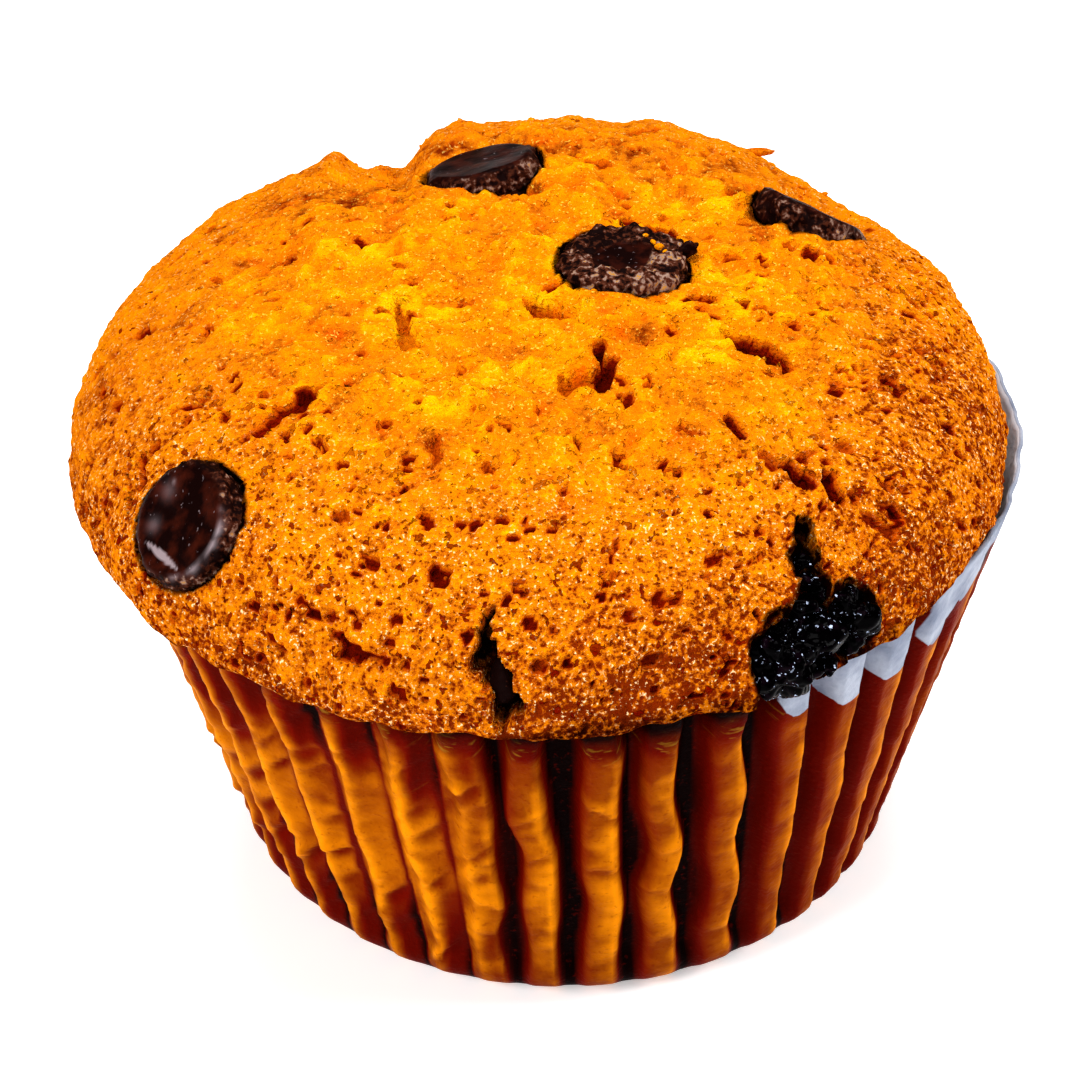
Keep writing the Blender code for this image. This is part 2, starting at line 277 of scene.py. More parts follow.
cake = {
    "cells": 288,
    "crownCentre": (-1.8, -3.0),
    "crownRadii": (39.4, 40.8),
    "widestHeight": 42.4,
    "rise": 15.5,
    "power": 3.0,
    "edgeRound": (2.4, 1.35),  # how far the rounded edge turns in, and down
    "neckRadius": 35.7,
    "neckHeight": 40.85,
    "bodyHeights": (39.6, 33.0, 26.0, 19.0, 12.0, 7.0, 4.2, 2.2, 1.1),
    "inset": 1.5,  # of the body, from the outside of the paper
    "lowestRing": (0.75, 1.4),  # height and inset
    # Relief of the crown: centre x and y, half widths along x and y, height
    "relief": (
        (2.5, 25.0, 14.0, 10.0, 1.2),  # risen hump at the back
        (-13.6, 25.5, 1.9, 12.0, -2.9),  # notch beside the hump
        (-16.8, 26.0, 1.7, 10.0, -2.0),
        (-19.6, 25.5, 1.5, 7.0, 0.9),  # lip of the notch
        (-9.0, 29.0, 2.5, 4.0, 0.5),
        (10.8, 30.0, 3.4, 4.5, 0.8),
        (26.0, 24.0, 7.0, 7.0, -0.6),  # flatter shoulder at the back right
        (1.5, 4.5, 4.5, 2.2, -0.7),  # hollow between two of the drops
    ),
    # Noises of the crumb: size, seed, amount
    "swell": ((11.0, 6, 0.42), (4.5, 7, 0.30)),
    "sheets": ((8.0, 31, 0.42), (4.2, 32, 0.24)),
    "grit": ((0.75, 8, 0.11),),
    "edgeWave": ((6.0, 9, 0.50), (2.4, 19, 0.50)),
    "ragged": (((1.3, 10, 0.45), (0.6, 11, 0.2)), ((1.3, 12, 0.45), (0.6, 13, 0.2))),
    "lumpSize": 3.2,
    "fineSize": 1.3,
    # Torn places: depth, how dark (the crumb's red colour and painted shade in the hollow), then points along
    # each with its half width there
    "tears": (
        (
            1.7,
            1.0,
            (13.0, -11.3, 57.5, 0.35),
            (14.3, -12.3, 57.3, 0.8),
            (15.8, -13.4, 57.0, 0.95),
            (18.0, -15.4, 56.4, 0.5),
        ),
        (
            1.7,
            1.0,
            (3.4, -13.6, 57.9, 0.3),
            (3.0, -14.9, 57.8, 0.6),
            (3.6, -17.4, 57.8, 0.9),
            (3.0, -19.6, 57.5, 0.5),
        ),
        (1.0, 0.5, (2.4, -18.4, 57.5, 1.3), (0.8, -19.4, 57.5, 0.8)),
        (1.8, 0.42, (-2.0, -7.4, 57.9, 0.8), (-0.8, -8.4, 57.9, 1.3), (0.6, -9.4, 57.9, 0.8)),
        (1.2, 0.9, (-18.8, -18.0, 56.6, 0.35), (-20.2, -18.7, 56.2, 0.8), (-21.3, -19.4, 55.9, 0.6)),
        (1.0, 0.8, (-22.2, -20.0, 55.6, 0.7), (-23.7, -21.5, 55.1, 0.6)),
        (0.9, 0.8, (-21.0, -22.0, 55.4, 0.45), (-21.9, -23.0, 55.0, 0.45)),
        (0.9, 0.8, (-22.0, 3.0, 56.4, 0.5), (-23.0, 1.9, 56.0, 0.6)),
        (0.9, 0.9, (-34.3, -18.0, 50.2, 0.35), (-34.7, -19.6, 49.5, 0.35)),
        (0.9, 0.9, (-32.9, -18.7, 51.0, 0.4), (-33.1, -20.9, 50.2, 0.4)),
        (0.8, 0.8, (-34.9, -20.0, 48.9, 0.3), (-34.3, -22.8, 48.5, 0.3)),
        (1.1, 0.4, (-12.9, -6.3, 57.8, 0.4), (-12.4, -9.4, 57.8, 0.8), (-11.8, -12.6, 57.7, 1.0)),
        (1.3, 1.0, (17.3, -26.6, 54.3, 0.7), (18.3, -27.4, 53.8, 0.9)),
        (1.4, 1.0, (20.3, -26.4, 53.4, 0.6), (21.0, -28.0, 52.6, 0.9)),
        (1.0, 0.9, (12.7, -23.4, 56.4, 0.6), (13.9, -24.4, 56.0, 0.6)),
        (0.9, 0.9, (26.0, -15.2, 54.0, 0.55), (26.3, -16.2, 53.7, 0.6)),
        (1.0, 0.9, (-9.8, -36.0, 52.2, 0.5), (-9.2, -37.0, 51.7, 0.6)),
        (1.1, 0.9, (-16.5, -39.0, 47.2, 0.7), (-15.5, -39.6, 46.8, 0.5)),
        (0.9, 1.0, (25.5, -27.0, 50.7, 0.5), (26.0, -27.6, 50.2, 0.4)),
        (0.9, 0.6, (4.3, -26.8, 56.2, 0.6), (4.4, -28.0, 55.9, 0.5)),
        (0.8, 0.7, (-28.8, -5.8, 55.6, 0.3), (-28.7, -7.6, 55.4, 0.4)),
        (0.8, 0.6, (-28.3, -14.6, 55.0, 0.35), (-28.0, -15.8, 54.7, 0.45)),
        (0.8, 0.5, (-9.8, -25.3, 56.9, 0.5), (-9.6, -27.2, 56.5, 0.7)),
        (0.7, 0.7, (-4.8, -24.1, 57.0, 0.3), (-4.4, -25.0, 56.9, 0.35)),
        (1.2, 0.9, (10.6, -6.0, 57.9, 0.35), (11.8, -7.2, 57.8, 0.75)),
        (0.9, 0.9, (4.6, 6.0, 57.9, 0.35), (7.0, 4.8, 57.9, 0.5), (9.6, 2.8, 57.8, 0.45)),
        (1.7, 0.9, (-3.6, 11.6, 57.7, 0.8), (-2.0, 10.3, 57.8, 1.0)),
        (0.8, 0.6, (13.6, -4.4, 57.6, 0.4), (15.2, -5.6, 57.3, 0.45)),
        (0.9, 0.5, (9.2, -24.0, 56.8, 0.5), (10.4, -25.0, 56.4, 0.5)),
        (0.8, 0.6, (7.4, -28.2, 55.6, 0.5), (8.4, -28.8, 55.3, 0.45)),
        (0.6, 0.55, (3.1, 16.3, 57.2, 0.6), (4.4, 15.7, 56.7, 0.7)),
        (0.6, 0.5, (7.5, 23.8, 55.7, 0.5), (10.1, 25.3, 55.2, 0.8)),
        (0.6, 0.5, (9.5, 28.9, 53.8, 0.6), (12.0, 28.5, 53.6, 0.5)),
        (0.7, 0.6, (21.0, 1.4, 56.1, 0.45), (23.0, 0.6, 55.6, 0.5)),
    ),
    "smallPits": 330,
    # Open cells of the crumb: size, seed, share of the cells that are open, depth
    "openCells": ((1.5, 15, 0.030, 0.75), (0.95, 16, 0.060, 0.5)),
    # Front crack: points from the top down and its half width
    "crack": (
        ((-5.2, -38.7, 51.3), 0.24),
        ((-6.1, -41.0, 48.9), 0.55),
        ((-6.3, -41.9, 47.6), 0.85),
        ((-4.9, -42.9, 46.0), 0.75),
        ((-4.2, -43.4, 44.2), 1.05),
    ),
    "crackBranch": (((-5.4, -39.4, 50.6), 0.30), ((-3.4, -39.3, 51.0), 0.16)),
    "crackDepth": 2.9,
    # Dark hollow above and between the berries, in the same way
    "crevice": (
        ((18.0, -31.2, 51.8), 0.6),
        ((17.7, -32.6, 50.6), 0.9),
        ((18.4, -34.2, 48.9), 1.0),
        ((18.3, -36.2, 46.6), 1.9),
        ((18.7, -37.0, 44.6), 1.6),
    ),
}

# Chocolate drops: middle, direction that the flat face looks, radius, thickness, how many crumbs stick to it
drops = {
    "left": ((-28.4, -26.6, 49.6), (-0.61, -0.47, 0.64), 4.9, 3.9, -0.1),
    "back": ((-6.0, 15.7, 55.8), (-0.21, 0.25, 0.945), 5.0, 3.2, 0.0),
    "centre": ((5.4, -1.9, 56.8), (0.0, 0.04, 1.0), 5.3, 3.2, 0.25),
    "right": ((21.6, 9.0, 54.4), (0.44, 0.41, 0.80), 4.9, 2.8, 0.1),
}

# Burst berries: middle and half sizes
berries = {
    "front": ((15.9, -36.9, 43.9), (3.3, 3.3, 3.4)),
    "side": ((21.0, -33.9, 44.6), (2.3, 2.5, 2.9)),
}


# Ovals from the top of the crown to the neck: centre x and y, radii along x and y, height
def cakeProfile():
    cx, cy = cake["crownCentre"]
    rx, ry = cake["crownRadii"]
    rows = []
    for angle in np.linspace(90, 0, 91):
        turn = math.radians(angle)
        share = max(math.cos(turn), 0.0) ** (2 / cake["power"])
        rows.append((cx, cy, rx * share, ry * share, cake["widestHeight"] + cake["rise"] * math.sin(turn)))
    inwards, downwards = cake["edgeRound"]
    for angle in np.linspace(8, 90, 12):
        turn = math.radians(angle)
        pull = inwards * (1 - math.cos(turn))
        rows.append((cx, cy, rx - pull, ry - pull, cake["widestHeight"] - downwards * math.sin(turn)))
    neck = cake["neckRadius"]
    rows.append((0.0, 0.0, neck, neck, cake["neckHeight"]))
    return np.array(rows)


# Points on those ovals at a share of the way down and an azimuth
def onProfile(rows, share, azimuth):
    steps = np.hypot(np.diff((rows[:, 2] + rows[:, 3]) / 2), np.diff(rows[:, 4]))
    travel = np.concatenate(((0.0,), np.cumsum(steps)))
    where = share * travel[-1]
    cx, cy, rx, ry, z = (np.interp(where, travel, column) for column in rows.T)
    return np.column_stack((cx + rx * np.cos(azimuth), cy + ry * np.sin(azimuth), z))


# Places a ring of the cake's body inside the fluted paper, at the height and inset given
def bodyRing(height, inset):
    def place(azimuth):
        straight = azimuth
        for _ in range(6):
            straight = azimuth - fanOf(straight) * (1 - height / case["rimHeight"])
        flutes = (straight - math.radians(case["firstRidge"])) / math.tau * case["flutes"]
        valley = fade(np.abs((flutes + 0.5) % 1.0 - 0.5), 0.10, 0.34)
        radius = ridgeRadius(height) - fluteDepth(height) * valley - inset
        radius -= rimPull(straight, height)
        level = np.full(len(azimuth), height)
        return np.column_stack((radius * np.cos(azimuth), radius * np.sin(azimuth), level))

    return place


# Distance of each point to a line of stations, as a share of the half width there
def polylineDistance(points, stations):
    best = np.full(len(points), 1e9)
    for (first, firstHalf), (last, lastHalf) in zip(stations, stations[1:]):
        first, last = np.array(first), np.array(last)
        run = last - first
        share = np.clip((points - first) @ run / (run @ run), 0, 1)
        gap = np.linalg.norm(points - first - share[:, None] * run, axis=1)
        best = np.minimum(best, gap / (firstHalf + (lastHalf - firstHalf) * share))
    return best


# Torn places, pits and open cells of the crumb: how dark each point is, in the crumb's red colour and painted
# shade, and how deep
def openCrumb(base, middle, holes, warp, rags):
    ragU, ragV, ragged = rags
    pit = np.zeros(len(base))
    depth = np.zeros(len(base))
    for deep, tone, *line in cake["tears"]:
        stations = []
        for *spot, half in line:
            nearest = np.argmin(((base - spot) ** 2).sum(axis=1))
            stations.append((tuple(base[nearest]), half))
        reach = polylineDistance(ragged, stations)
        inside = 1 - fade(reach, 0.9, 1.14)
        pit = np.maximum(pit, inside * tone)
        depth = np.maximum(depth, inside * deep)
    # Small pits, most of them off the middle
    crust = np.flatnonzero(base[:, 2] > 43.2)
    chance = 1 - 0.75 * middle[crust]
    for centre in dice.choice(crust, cake["smallPits"], replace=False, p=chance / chance.sum()):
        close = np.flatnonzero(((base - base[centre]) ** 2).sum(axis=1) < 4.0)
        big = dice.random() ** 3
        length = 0.55 + 1.25 * big
        width = length * dice.uniform(0.45, 0.9)
        turn = dice.uniform(0, math.pi)
        away = base[close] - base[centre]
        u = away[:, 0] * math.cos(turn) + away[:, 1] * math.sin(turn)
        v = np.sqrt(np.clip((away**2).sum(axis=1) - u**2, 0, None))
        reach = np.hypot((u + 0.6 * ragU[close]) / length * 2, (v + 0.4 * ragV[close]) / width * 2)
        inside = 1 - fade(reach, 0.8, 1.15)
        deep = dice.uniform(0.25, 0.5) + 0.45 * big
        tone = dice.uniform(0.5, 1.0)
        pit[close] = np.maximum(pit[close], inside * tone)
        depth[close] = np.maximum(depth[close], inside * deep)

    # Single open cells, most of them at the front
    for size, seed, chance, deep in cake["openCells"]:
        luck, inside = crumbCells(base * np.array((1, 1.25, 1.25)) + 0.35 * warp, size, seed)
        patchy = np.clip(1 + 1.6 * grainOf(base, 6.0, seed + 5), 0.15, 2.4)
        patchy *= (0.35 + 0.8 * holes) * (1 - 0.5 * middle)
        hole = inside * (luck < chance * patchy)
        pit = np.maximum(pit, hole * (0.5 + 0.5 * luck / chance))
        depth = np.maximum(depth, hole * deep)
    return pit, depth


# Moves the points to make room for the drops and berries. Gives how dark each one is: the berries' juice
# stain, and painted shade round the drops and in the crevice
def makeRoom(points, base, normals, ragU, ragged):
    stainAndShade = np.zeros(len(base))
    for middlePoint, facing, radius, thickness, _ in drops.values():
        axis = np.array(facing) / np.linalg.norm(facing)
        apart = points - middlePoint
        along = apart @ axis
        across = np.linalg.norm(apart - along[:, None] * axis, axis=1)
        floor = -thickness / 2 - 0.2
        # Crumb beside a drop stays below its face, and under it makes a flat seat
        beside = (across < radius + 5) & (np.abs(along) < 7)
        most = thickness / 2 - 0.9 + 0.75 * (across - radius)
        over = np.where(beside, np.clip(along - most, 0, None), 0)
        points -= axis * over[:, None]
        along -= over
        inside = (across < radius + 0.10) & (along > floor) & (np.abs(along) < 7)
        points[inside] -= axis * (along[inside] - floor)[:, None]
        rim = (1 - fade(across, radius, radius + 1.1 + 0.8 * np.clip(ragU, -1, 1))) * (np.abs(along) < 5)
        stainAndShade = np.maximum(stainAndShade, 0.75 * rim)
    for middlePoint, halfSizes in berries.values():
        apart = (base - middlePoint) / halfSizes
        reach = np.linalg.norm(apart, axis=1) + 0.28 * ragU
        inside = 1 - fade(reach, 1.0, 1.25)
        points -= normals * (inside * 2.6)[:, None]
        stainAndShade = np.maximum(stainAndShade, 1 - fade(reach, 1.12, 1.5))
    crevice = polylineDistance(ragged, cake["crevice"])
    gap = 1 - fade(crevice, 0.85, 1.25)
    points -= normals * (gap * 1.9)[:, None]
    stainAndShade = np.maximum(stainAndShade, 1 - fade(crevice, 0.95, 1.9))
    return stainAndShade


# How far each point is baked, yellow in the middle and brown at the edge, darker along the low front and the
# lowest edge; and how far the painted shade under its edge reaches
def browning(base, height):
    x, y, z = base.T
    cx, cy = cake["crownCentre"]
    rx, ry = cake["crownRadii"]
    away = np.hypot((x - cx) / rx, (y - cy) / ry)
    front = fade(-y, 20, 40)
    low = 1 - fade(z, 42.2, 47.0)
    bake = 0.16 + 0.40 * fade(away, 0.30, 1.02) + (0.04 + 0.13 * front) * low
    bake += 0.28 * front * fade(x, -16, 8) * (1 - fade(z, 46, 52))
    bake += 0.18 * fade(x, 5, 36) * fade(away, 0.3, 0.9)
    bake += 0.25 * fade(y, 0, 22) * (1 - fade(away, 0.70, 0.95))
    bake += 0.10 * fade(-x, 14, 36)
    bake += 0.05 * (1 - fade(height, 41.4, 43.0))
    bake += 0.06 * fade(x, 4, 24) * fade(y, -10, 8)
    bake = np.minimum(bake, 0.84 - 0.34 * fade(y, -18, 2))
    # Painted shade under the crown's edge, reaching higher at the front right
    darkBand = front * fade(x, -10, 2)
    under = 1 - fade(height - 0.9 * darkBand, 41.2, 42.5 + 0.5 * darkBand)
    return bake, under


def makeCake():
    obj, share, azimuth = gridDisc("cake_baked", cake["cells"])
    base = onProfile(cakeProfile(), share, azimuth)
    x, y, z = base.T
    cx, cy = cake["crownCentre"]
    writePoints(obj, base)
    normals = readNormals(obj)
    if normals[np.argmax(z), 2] < 0:
        normals = -normals

    points = base.copy()
    overEdge = fade(z, 41.2, 43.2)
    whole = fade(z, 42.4, 50.0)
    for hillX, hillY, halfX, halfY, rise in cake["relief"]:
        hill = np.exp(-(((x - hillX) / halfX) ** 2) - ((y - hillY) / halfY) ** 2)
        points[:, 2] += whole * rise * hill

    # Lumps of crumb: soft and large in the middle, fine towards the edge
    middle = 1 - fade(np.hypot(x - cx, y - cy), 18, 36)
    warp = np.column_stack([grainOf(base, 3.0, seed) for seed in (1, 2, 3)])
    near, second = cellsOf(base + warp * 0.9, cake["lumpSize"], 4)
    fineNear, fineSecond = cellsOf(base + warp * 0.4, cake["fineSize"], 5)
    lumps = (0.14 + 0.26 * middle) * (fade(second - near, 0.0, 0.55) - 0.6)
    fine = (0.13 + 0.08 * middle) * (fade(fineSecond - fineNear, 0.0, 0.5) - 0.6)
    folds = -0.26 * np.abs(grainOf(base + 0.6 * warp, 2.6, 14)) * (0.5 + 0.8 * middle)
    # Torn skin of the crumb: low cliffs with ragged lines
    sheets = np.zeros(len(base))
    for size, seed, amount in cake["sheets"]:
        sheets += amount * fade(grainOf(base + warp, size, seed), -0.05, 0.05)
    sheets *= 0.25 + 0.75 * middle
    grit = layered(base, cake["grit"])
    height = layered(base, cake["swell"]) + lumps + fine + folds + grit + sheets - 0.3 * middle
    # Creases between the lumps: a mark that darkens the crust's colour there, as painted shade
    creaseShade = np.clip(-(lumps + fine + folds + grit) * 1.9, 0, 1)
    # The same places shifted by fine noise, for ragged edges
    ragU, ragV = (layered(base, layers) for layers in cake["ragged"])
    ragged = base + np.column_stack((ragU, ragV, 0.7 * (ragU - ragV)))
    holes = fade(0.35 * x - y, -10, 16)
    pit, depth = openCrumb(base, middle, holes, warp, (ragU, ragV, ragged))

    # Crack in the front edge
    torn = base + 0.25 * warp + (ragged - base)
    reach = np.minimum(*(polylineDistance(torn, cake[name]) for name in ("crack", "crackBranch")))
    crack = 1 - fade(reach, 0.9, 1.2)
    depth = np.maximum(depth, crack * cake["crackDepth"])
    lipped = fade(reach, 1.1, 1.6) * (1 - fade(reach, 1.6, 3.4))
    height += 0.18 * lipped

    points += normals * (overEdge * (height - depth))[:, None]
    edgeWave = layered(base, cake["edgeWave"])
    points[:, 2] += (1 - fade(z, 42.4, 46.0)) * edgeWave * fade(z, 40.9, 41.4)
    # The crack is darkened by the same mark, as painted shade in it
    stainAndShade = np.maximum(makeRoom(points, base, normals, ragU, ragged), crack)
    bake, under = browning(base, points[:, 2])

    writePoints(obj, points)
    body = [bodyRing(level, cake["inset"]) for level in cake["bodyHeights"]]
    extrudeEdge(obj, body + [bodyRing(*cake["lowestRing"])])

    extra = len(obj.data.vertices) - len(points)
    marks = {
        "pit": (pit, 0.0),
        "bake": (bake, 0.3),
        "stainAndShade": (stainAndShade, 0.0),
        "under": (under, 0.6),
        "middle": (middle, 0.5),
        "holes": (holes, 0.0),
        "creaseShade": (creaseShade, 0.0),
    }
    for name, (values, inCase) in marks.items():
        writeMark(obj, name, np.concatenate((values, np.full(extra, inCase))))
    return obj


# The named parts of a material, from the tables of its settings, in this order:
# noises: size in mm, detail, roughness
# marks: numbers that the mesh carries
# sums: result, part, its share, part it is added to
# ranges: part, from, to, then the least and the most
# blends: part that moves it, how far, to what value
# products: result, its two parts
def addParts(tree, look):
    place = addNode(tree, "ShaderNodeTexCoord", out=3)
    parts = {"place": place}
    for name, (size, detail, rough) in look["noises"].items():
        settings = {"Scale": 1 / (size * mm), "Detail": detail, "Roughness": rough}
        parts[name] = addNode(tree, "ShaderNodeTexNoise", settings, {"Vector": place})
    for name in look.get("marks", ()):
        parts[name] = addNode(tree, "ShaderNodeAttribute", {"attribute_name": name}, out=2)
    for name, source, share, other in look.get("sums", ()):
        settings = {"operation": "MULTIPLY_ADD", 1: share}
        parts[name] = addNode(tree, "ShaderNodeMath", settings, {0: parts[source], 2: parts[other]})
    for name, (source, low, high, least, most) in look["ranges"].items():
        settings = {"From Min": low, "From Max": high, "To Min": least, "To Max": most}
        parts[name] = addNode(tree, "ShaderNodeMapRange", settings, {"Value": parts[source]})
    for name, (source, reach, value) in look.get("blends", {}).items():
        links = {"Value": parts[source], "To Min": parts[name]}
        parts[name] = addNode(tree, "ShaderNodeMapRange", {"From Max": reach, "To Max": value}, links)
    for name, first, second in look.get("products", ()):
        links = {0: parts[first], 1: parts[second]}
        parts[name] = addNode(tree, "ShaderNodeMath", {"operation": "MULTIPLY"}, links)
    return parts


# Colours laid over the first one after the other, each by the amount of the same name
def layOver(tree, parts, layers, colour):
    for name, shade in layers.items():
        settings = {"data_type": "RGBA", 7: toLinear(shade)}
        colour = addNode(tree, "ShaderNodeMix", settings, {0: parts[name], 6: colour}, out=2)
    return colour


# Joins colour and relief to the shader. The relief has a strength and a depth in mm
def finishShader(tree, shader, look, colour, heights):
    tree.links.new(colour, shader.inputs["Base Color"])
    for name, value in look["surface"].items():
        shader.inputs[name].default_value = value
    strength, depth = look["relief"]
    settings = {"Strength": strength, "Distance": depth * mm}
    bump = addNode(tree, "ShaderNodeBump", settings, {"Height": heights})
    tree.links.new(bump, shader.inputs["Normal"])


# Baked crust, a fatty and sugared crumb: matt and yellow where open, brown with painted wet glints at the
# edge
def crustMaterial():
    look = {
        # From the yellow crumb to the darkest crust
        "ramp": (
            (0.00, "#EEB004"),
            (0.22, "#EC9A04"),
            (0.45, "#E48304"),
            (0.65, "#D67A0A"),
            (0.82, "#B8600C"),
            (1.00, "#782A04"),
        ),
        "toneShift": 0.30,  # of the ramp, towards the yellow
        "layers": {
            "flush": "#DE5204",
            "speck": "#741E00",
            # Painted highlights: the yellow and the pale glints
            "yellowGlint": "#FFE060",
            "paleGlint": "#FFE4B4",
            # Pores and pits: dark red of their own, darkest at the bottom as painted shade
            "poreDark": "#741000",
            "pitEdge": "#B44A04",
            "pitInside": "#741000",
            "pitBottom": "#280200",
            # Painted shade under the crown's edge
            "shadow": "#240600",
            # Juice stain of the berries, also used as painted shade round the drops, in the crack and in the
            # crevice
            "juice": "#140200",
        },
        "noises": {
            "patch": (5.0, 3.0, 0.5),
            "redPatch": (3.0, 4.0, 0.65),
            "blotch": (1.8, 3.0, 0.6),
            "pore": (1.0, 2.0, 0.6),
            "grain": (0.45, 2.0, 0.6),
            "fine": (0.22, 1.0, 0.5),  # real crumb grit is finer still, and would not show
        },
        "marks": ("bake", "middle", "holes", "creaseShade", "pit", "under", "stainAndShade"),
        "sums": (
            ("pore", "holes", -0.07, "pore"),
            ("pit", "grain", 0.35, "pit"),
            ("stainAndShade", "grain", 0.5, "stainAndShade"),
        ),
        "ranges": {
            "patchy": ("middle", 0.0, 1.0, 0.35, 1.25),
            "grainy": ("holes", 0.0, 1.0, -0.8, -1.9),
            "redMost": ("middle", 0.0, 1.0, 0.12, 0.6),
            "speck": ("grain", 0.355, 0.31, 0.0, 1.0),
            "speckMost": ("holes", 0.0, 1.0, 0.18, 0.75),
            "glint": ("fine", 0.58, 0.63, 0.0, 1.0),
            "high": ("grain", 0.50, 0.58, 0.0, 1.0),
            "cluster": ("blotch", 0.40, 0.56, 0.25, 1.0),
            "yellowGlint": ("middle", 0.0, 1.0, 0.0, 0.55),
            "paleGlint": ("holes", 0.0, 1.0, 0.4, 0.8),
            "inLight": ("under", 0.0, 1.0, 1.0, 0.2),
            "poreHollow": ("pore", 0.305, 0.28, 0.0, 1.0),
            "poreMost": ("middle", 0.0, 1.0, 0.9, 0.1),
            "pitEdge": ("pit", 0.33, 0.48, 0.0, 0.8),
            "pitInside": ("pit", 0.60, 0.80, 0.0, 0.95),
            "pitBottom": ("pit", 0.97, 1.15, 0.0, 0.6),
            "shadow": ("grain", 0.36, 0.56, 1.0, 0.45),
            "soaked": ("stainAndShade", 0.55, 0.85, 0.0, 1.0),
            "juice": ("blotch", 0.3, 0.62, 1.3, 0.7),
            "gloss": ("fine", 0.48, 0.62, 0.60, 0.20),
        },
        "blends": {
            "grainy": ("middle", 1.0, -0.6),
            "speckMost": ("middle", 1.0, 0.20),
            "paleGlint": ("middle", 0.8, 0.0),
        },
        "products": (
            ("speck", "speck", "speckMost"),
            ("glint", "glint", "high"),
            ("glint", "glint", "cluster"),
            ("yellowGlint", "glint", "yellowGlint"),
            ("paleGlint", "glint", "paleGlint"),
            ("paleGlint", "paleGlint", "inLight"),
            ("poreDark", "poreHollow", "poreMost"),
            ("shadow", "shadow", "under"),
            ("juice", "juice", "soaked"),
        ),
        "surface": {"IOR": 1.46, "Specular IOR Level": 0.0},  # broad gloss would veil the yellow, so the glints are painted highlights in the colour
        "relief": (1.0, 0.40),
    }
    material, tree, shader = newMaterial("baked crust")
    parts = addParts(tree, look)
    links = {"Value": parts["redPatch"], "To Max": parts["redMost"]}
    parts["flush"] = addNode(tree, "ShaderNodeMapRange", {"From Min": 0.52, "From Max": 0.70}, links)

    # How far it is baked: by place, then in patches, blotches and grains, with painted shade in the folds
    uneven = addNode(tree, "ShaderNodeMath", {"operation": "SUBTRACT", 1: 0.5}, {0: parts["patch"]})
    links = {0: uneven, 1: parts["patchy"], 2: parts["bake"]}
    tone = addNode(tree, "ShaderNodeMath", {"operation": "MULTIPLY_ADD"}, links)
    for name, share in (("blotch", 0.60), ("creaseShade", 0.42)):
        settings = {"operation": "MULTIPLY_ADD", 1: share}
        tone = addNode(tree, "ShaderNodeMath", settings, {0: parts[name], 2: tone})
    apart = addNode(tree, "ShaderNodeMath", {"operation": "SUBTRACT", 1: 0.5}, {0: parts["grain"]})
    links = {0: apart, 1: parts["grainy"], 2: tone}
    tone = addNode(tree, "ShaderNodeMath", {"operation": "MULTIPLY_ADD"}, links)
    tone = addNode(tree, "ShaderNodeMath", {"operation": "SUBTRACT", 1: look["toneShift"]}, {0: tone})
    colour = addNode(tree, "ShaderNodeValToRGB", {}, {"Fac": tone})
    stops = colour.node.color_ramp.elements
    for index, (position, shade) in enumerate(look["ramp"]):
        stop = stops[index] if index < 2 else stops.new(position)
        stop.position = position
        stop.color = toLinear(shade)
    colour = layOver(tree, parts, look["layers"], colour)
    tree.links.new(parts["gloss"], shader.inputs["Roughness"])
    heights = parts["grain"]
    for name, share in (("fine", 0.35), ("blotch", 0.8), ("poreHollow", -0.9)):
        settings = {"operation": "MULTIPLY_ADD", 1: share}
        heights = addNode(tree, "ShaderNodeMath", settings, {0: parts[name], 2: heights})
    finishShader(tree, shader, look, colour, heights)
    return material


# Baking paper's faint gloss and its fine relief
paperSurface = {
    "surface": {"Roughness": 0.45, "IOR": 1.45, "Specular IOR Level": 0.01},
    "relief": (0.5, 0.2),
}


# Dry baking paper, the inside of the case: thin, fibrous and blue-white
def dryPaper():
    look = {
        **paperSurface,
        "white": "#D8DCE4",
        "shade": "#B4BAC6",
        "noises": {"patch": (3.0, 4.0, 0.5), "fibre": (0.5, 2.0, 0.5)},
        "ranges": {"worn": ("patch", 0.35, 0.7, 0.0, 1.0)},
    }
    material, tree, shader = newMaterial("dry baking paper")
    parts = addParts(tree, look)
    settings = {"data_type": "RGBA", 6: toLinear(look["white"]), 7: toLinear(look["shade"])}
    colour = addNode(tree, "ShaderNodeMix", settings, {0: parts["worn"]}, out=2)
    finishShader(tree, shader, look, colour, parts["fibre"])
    return material
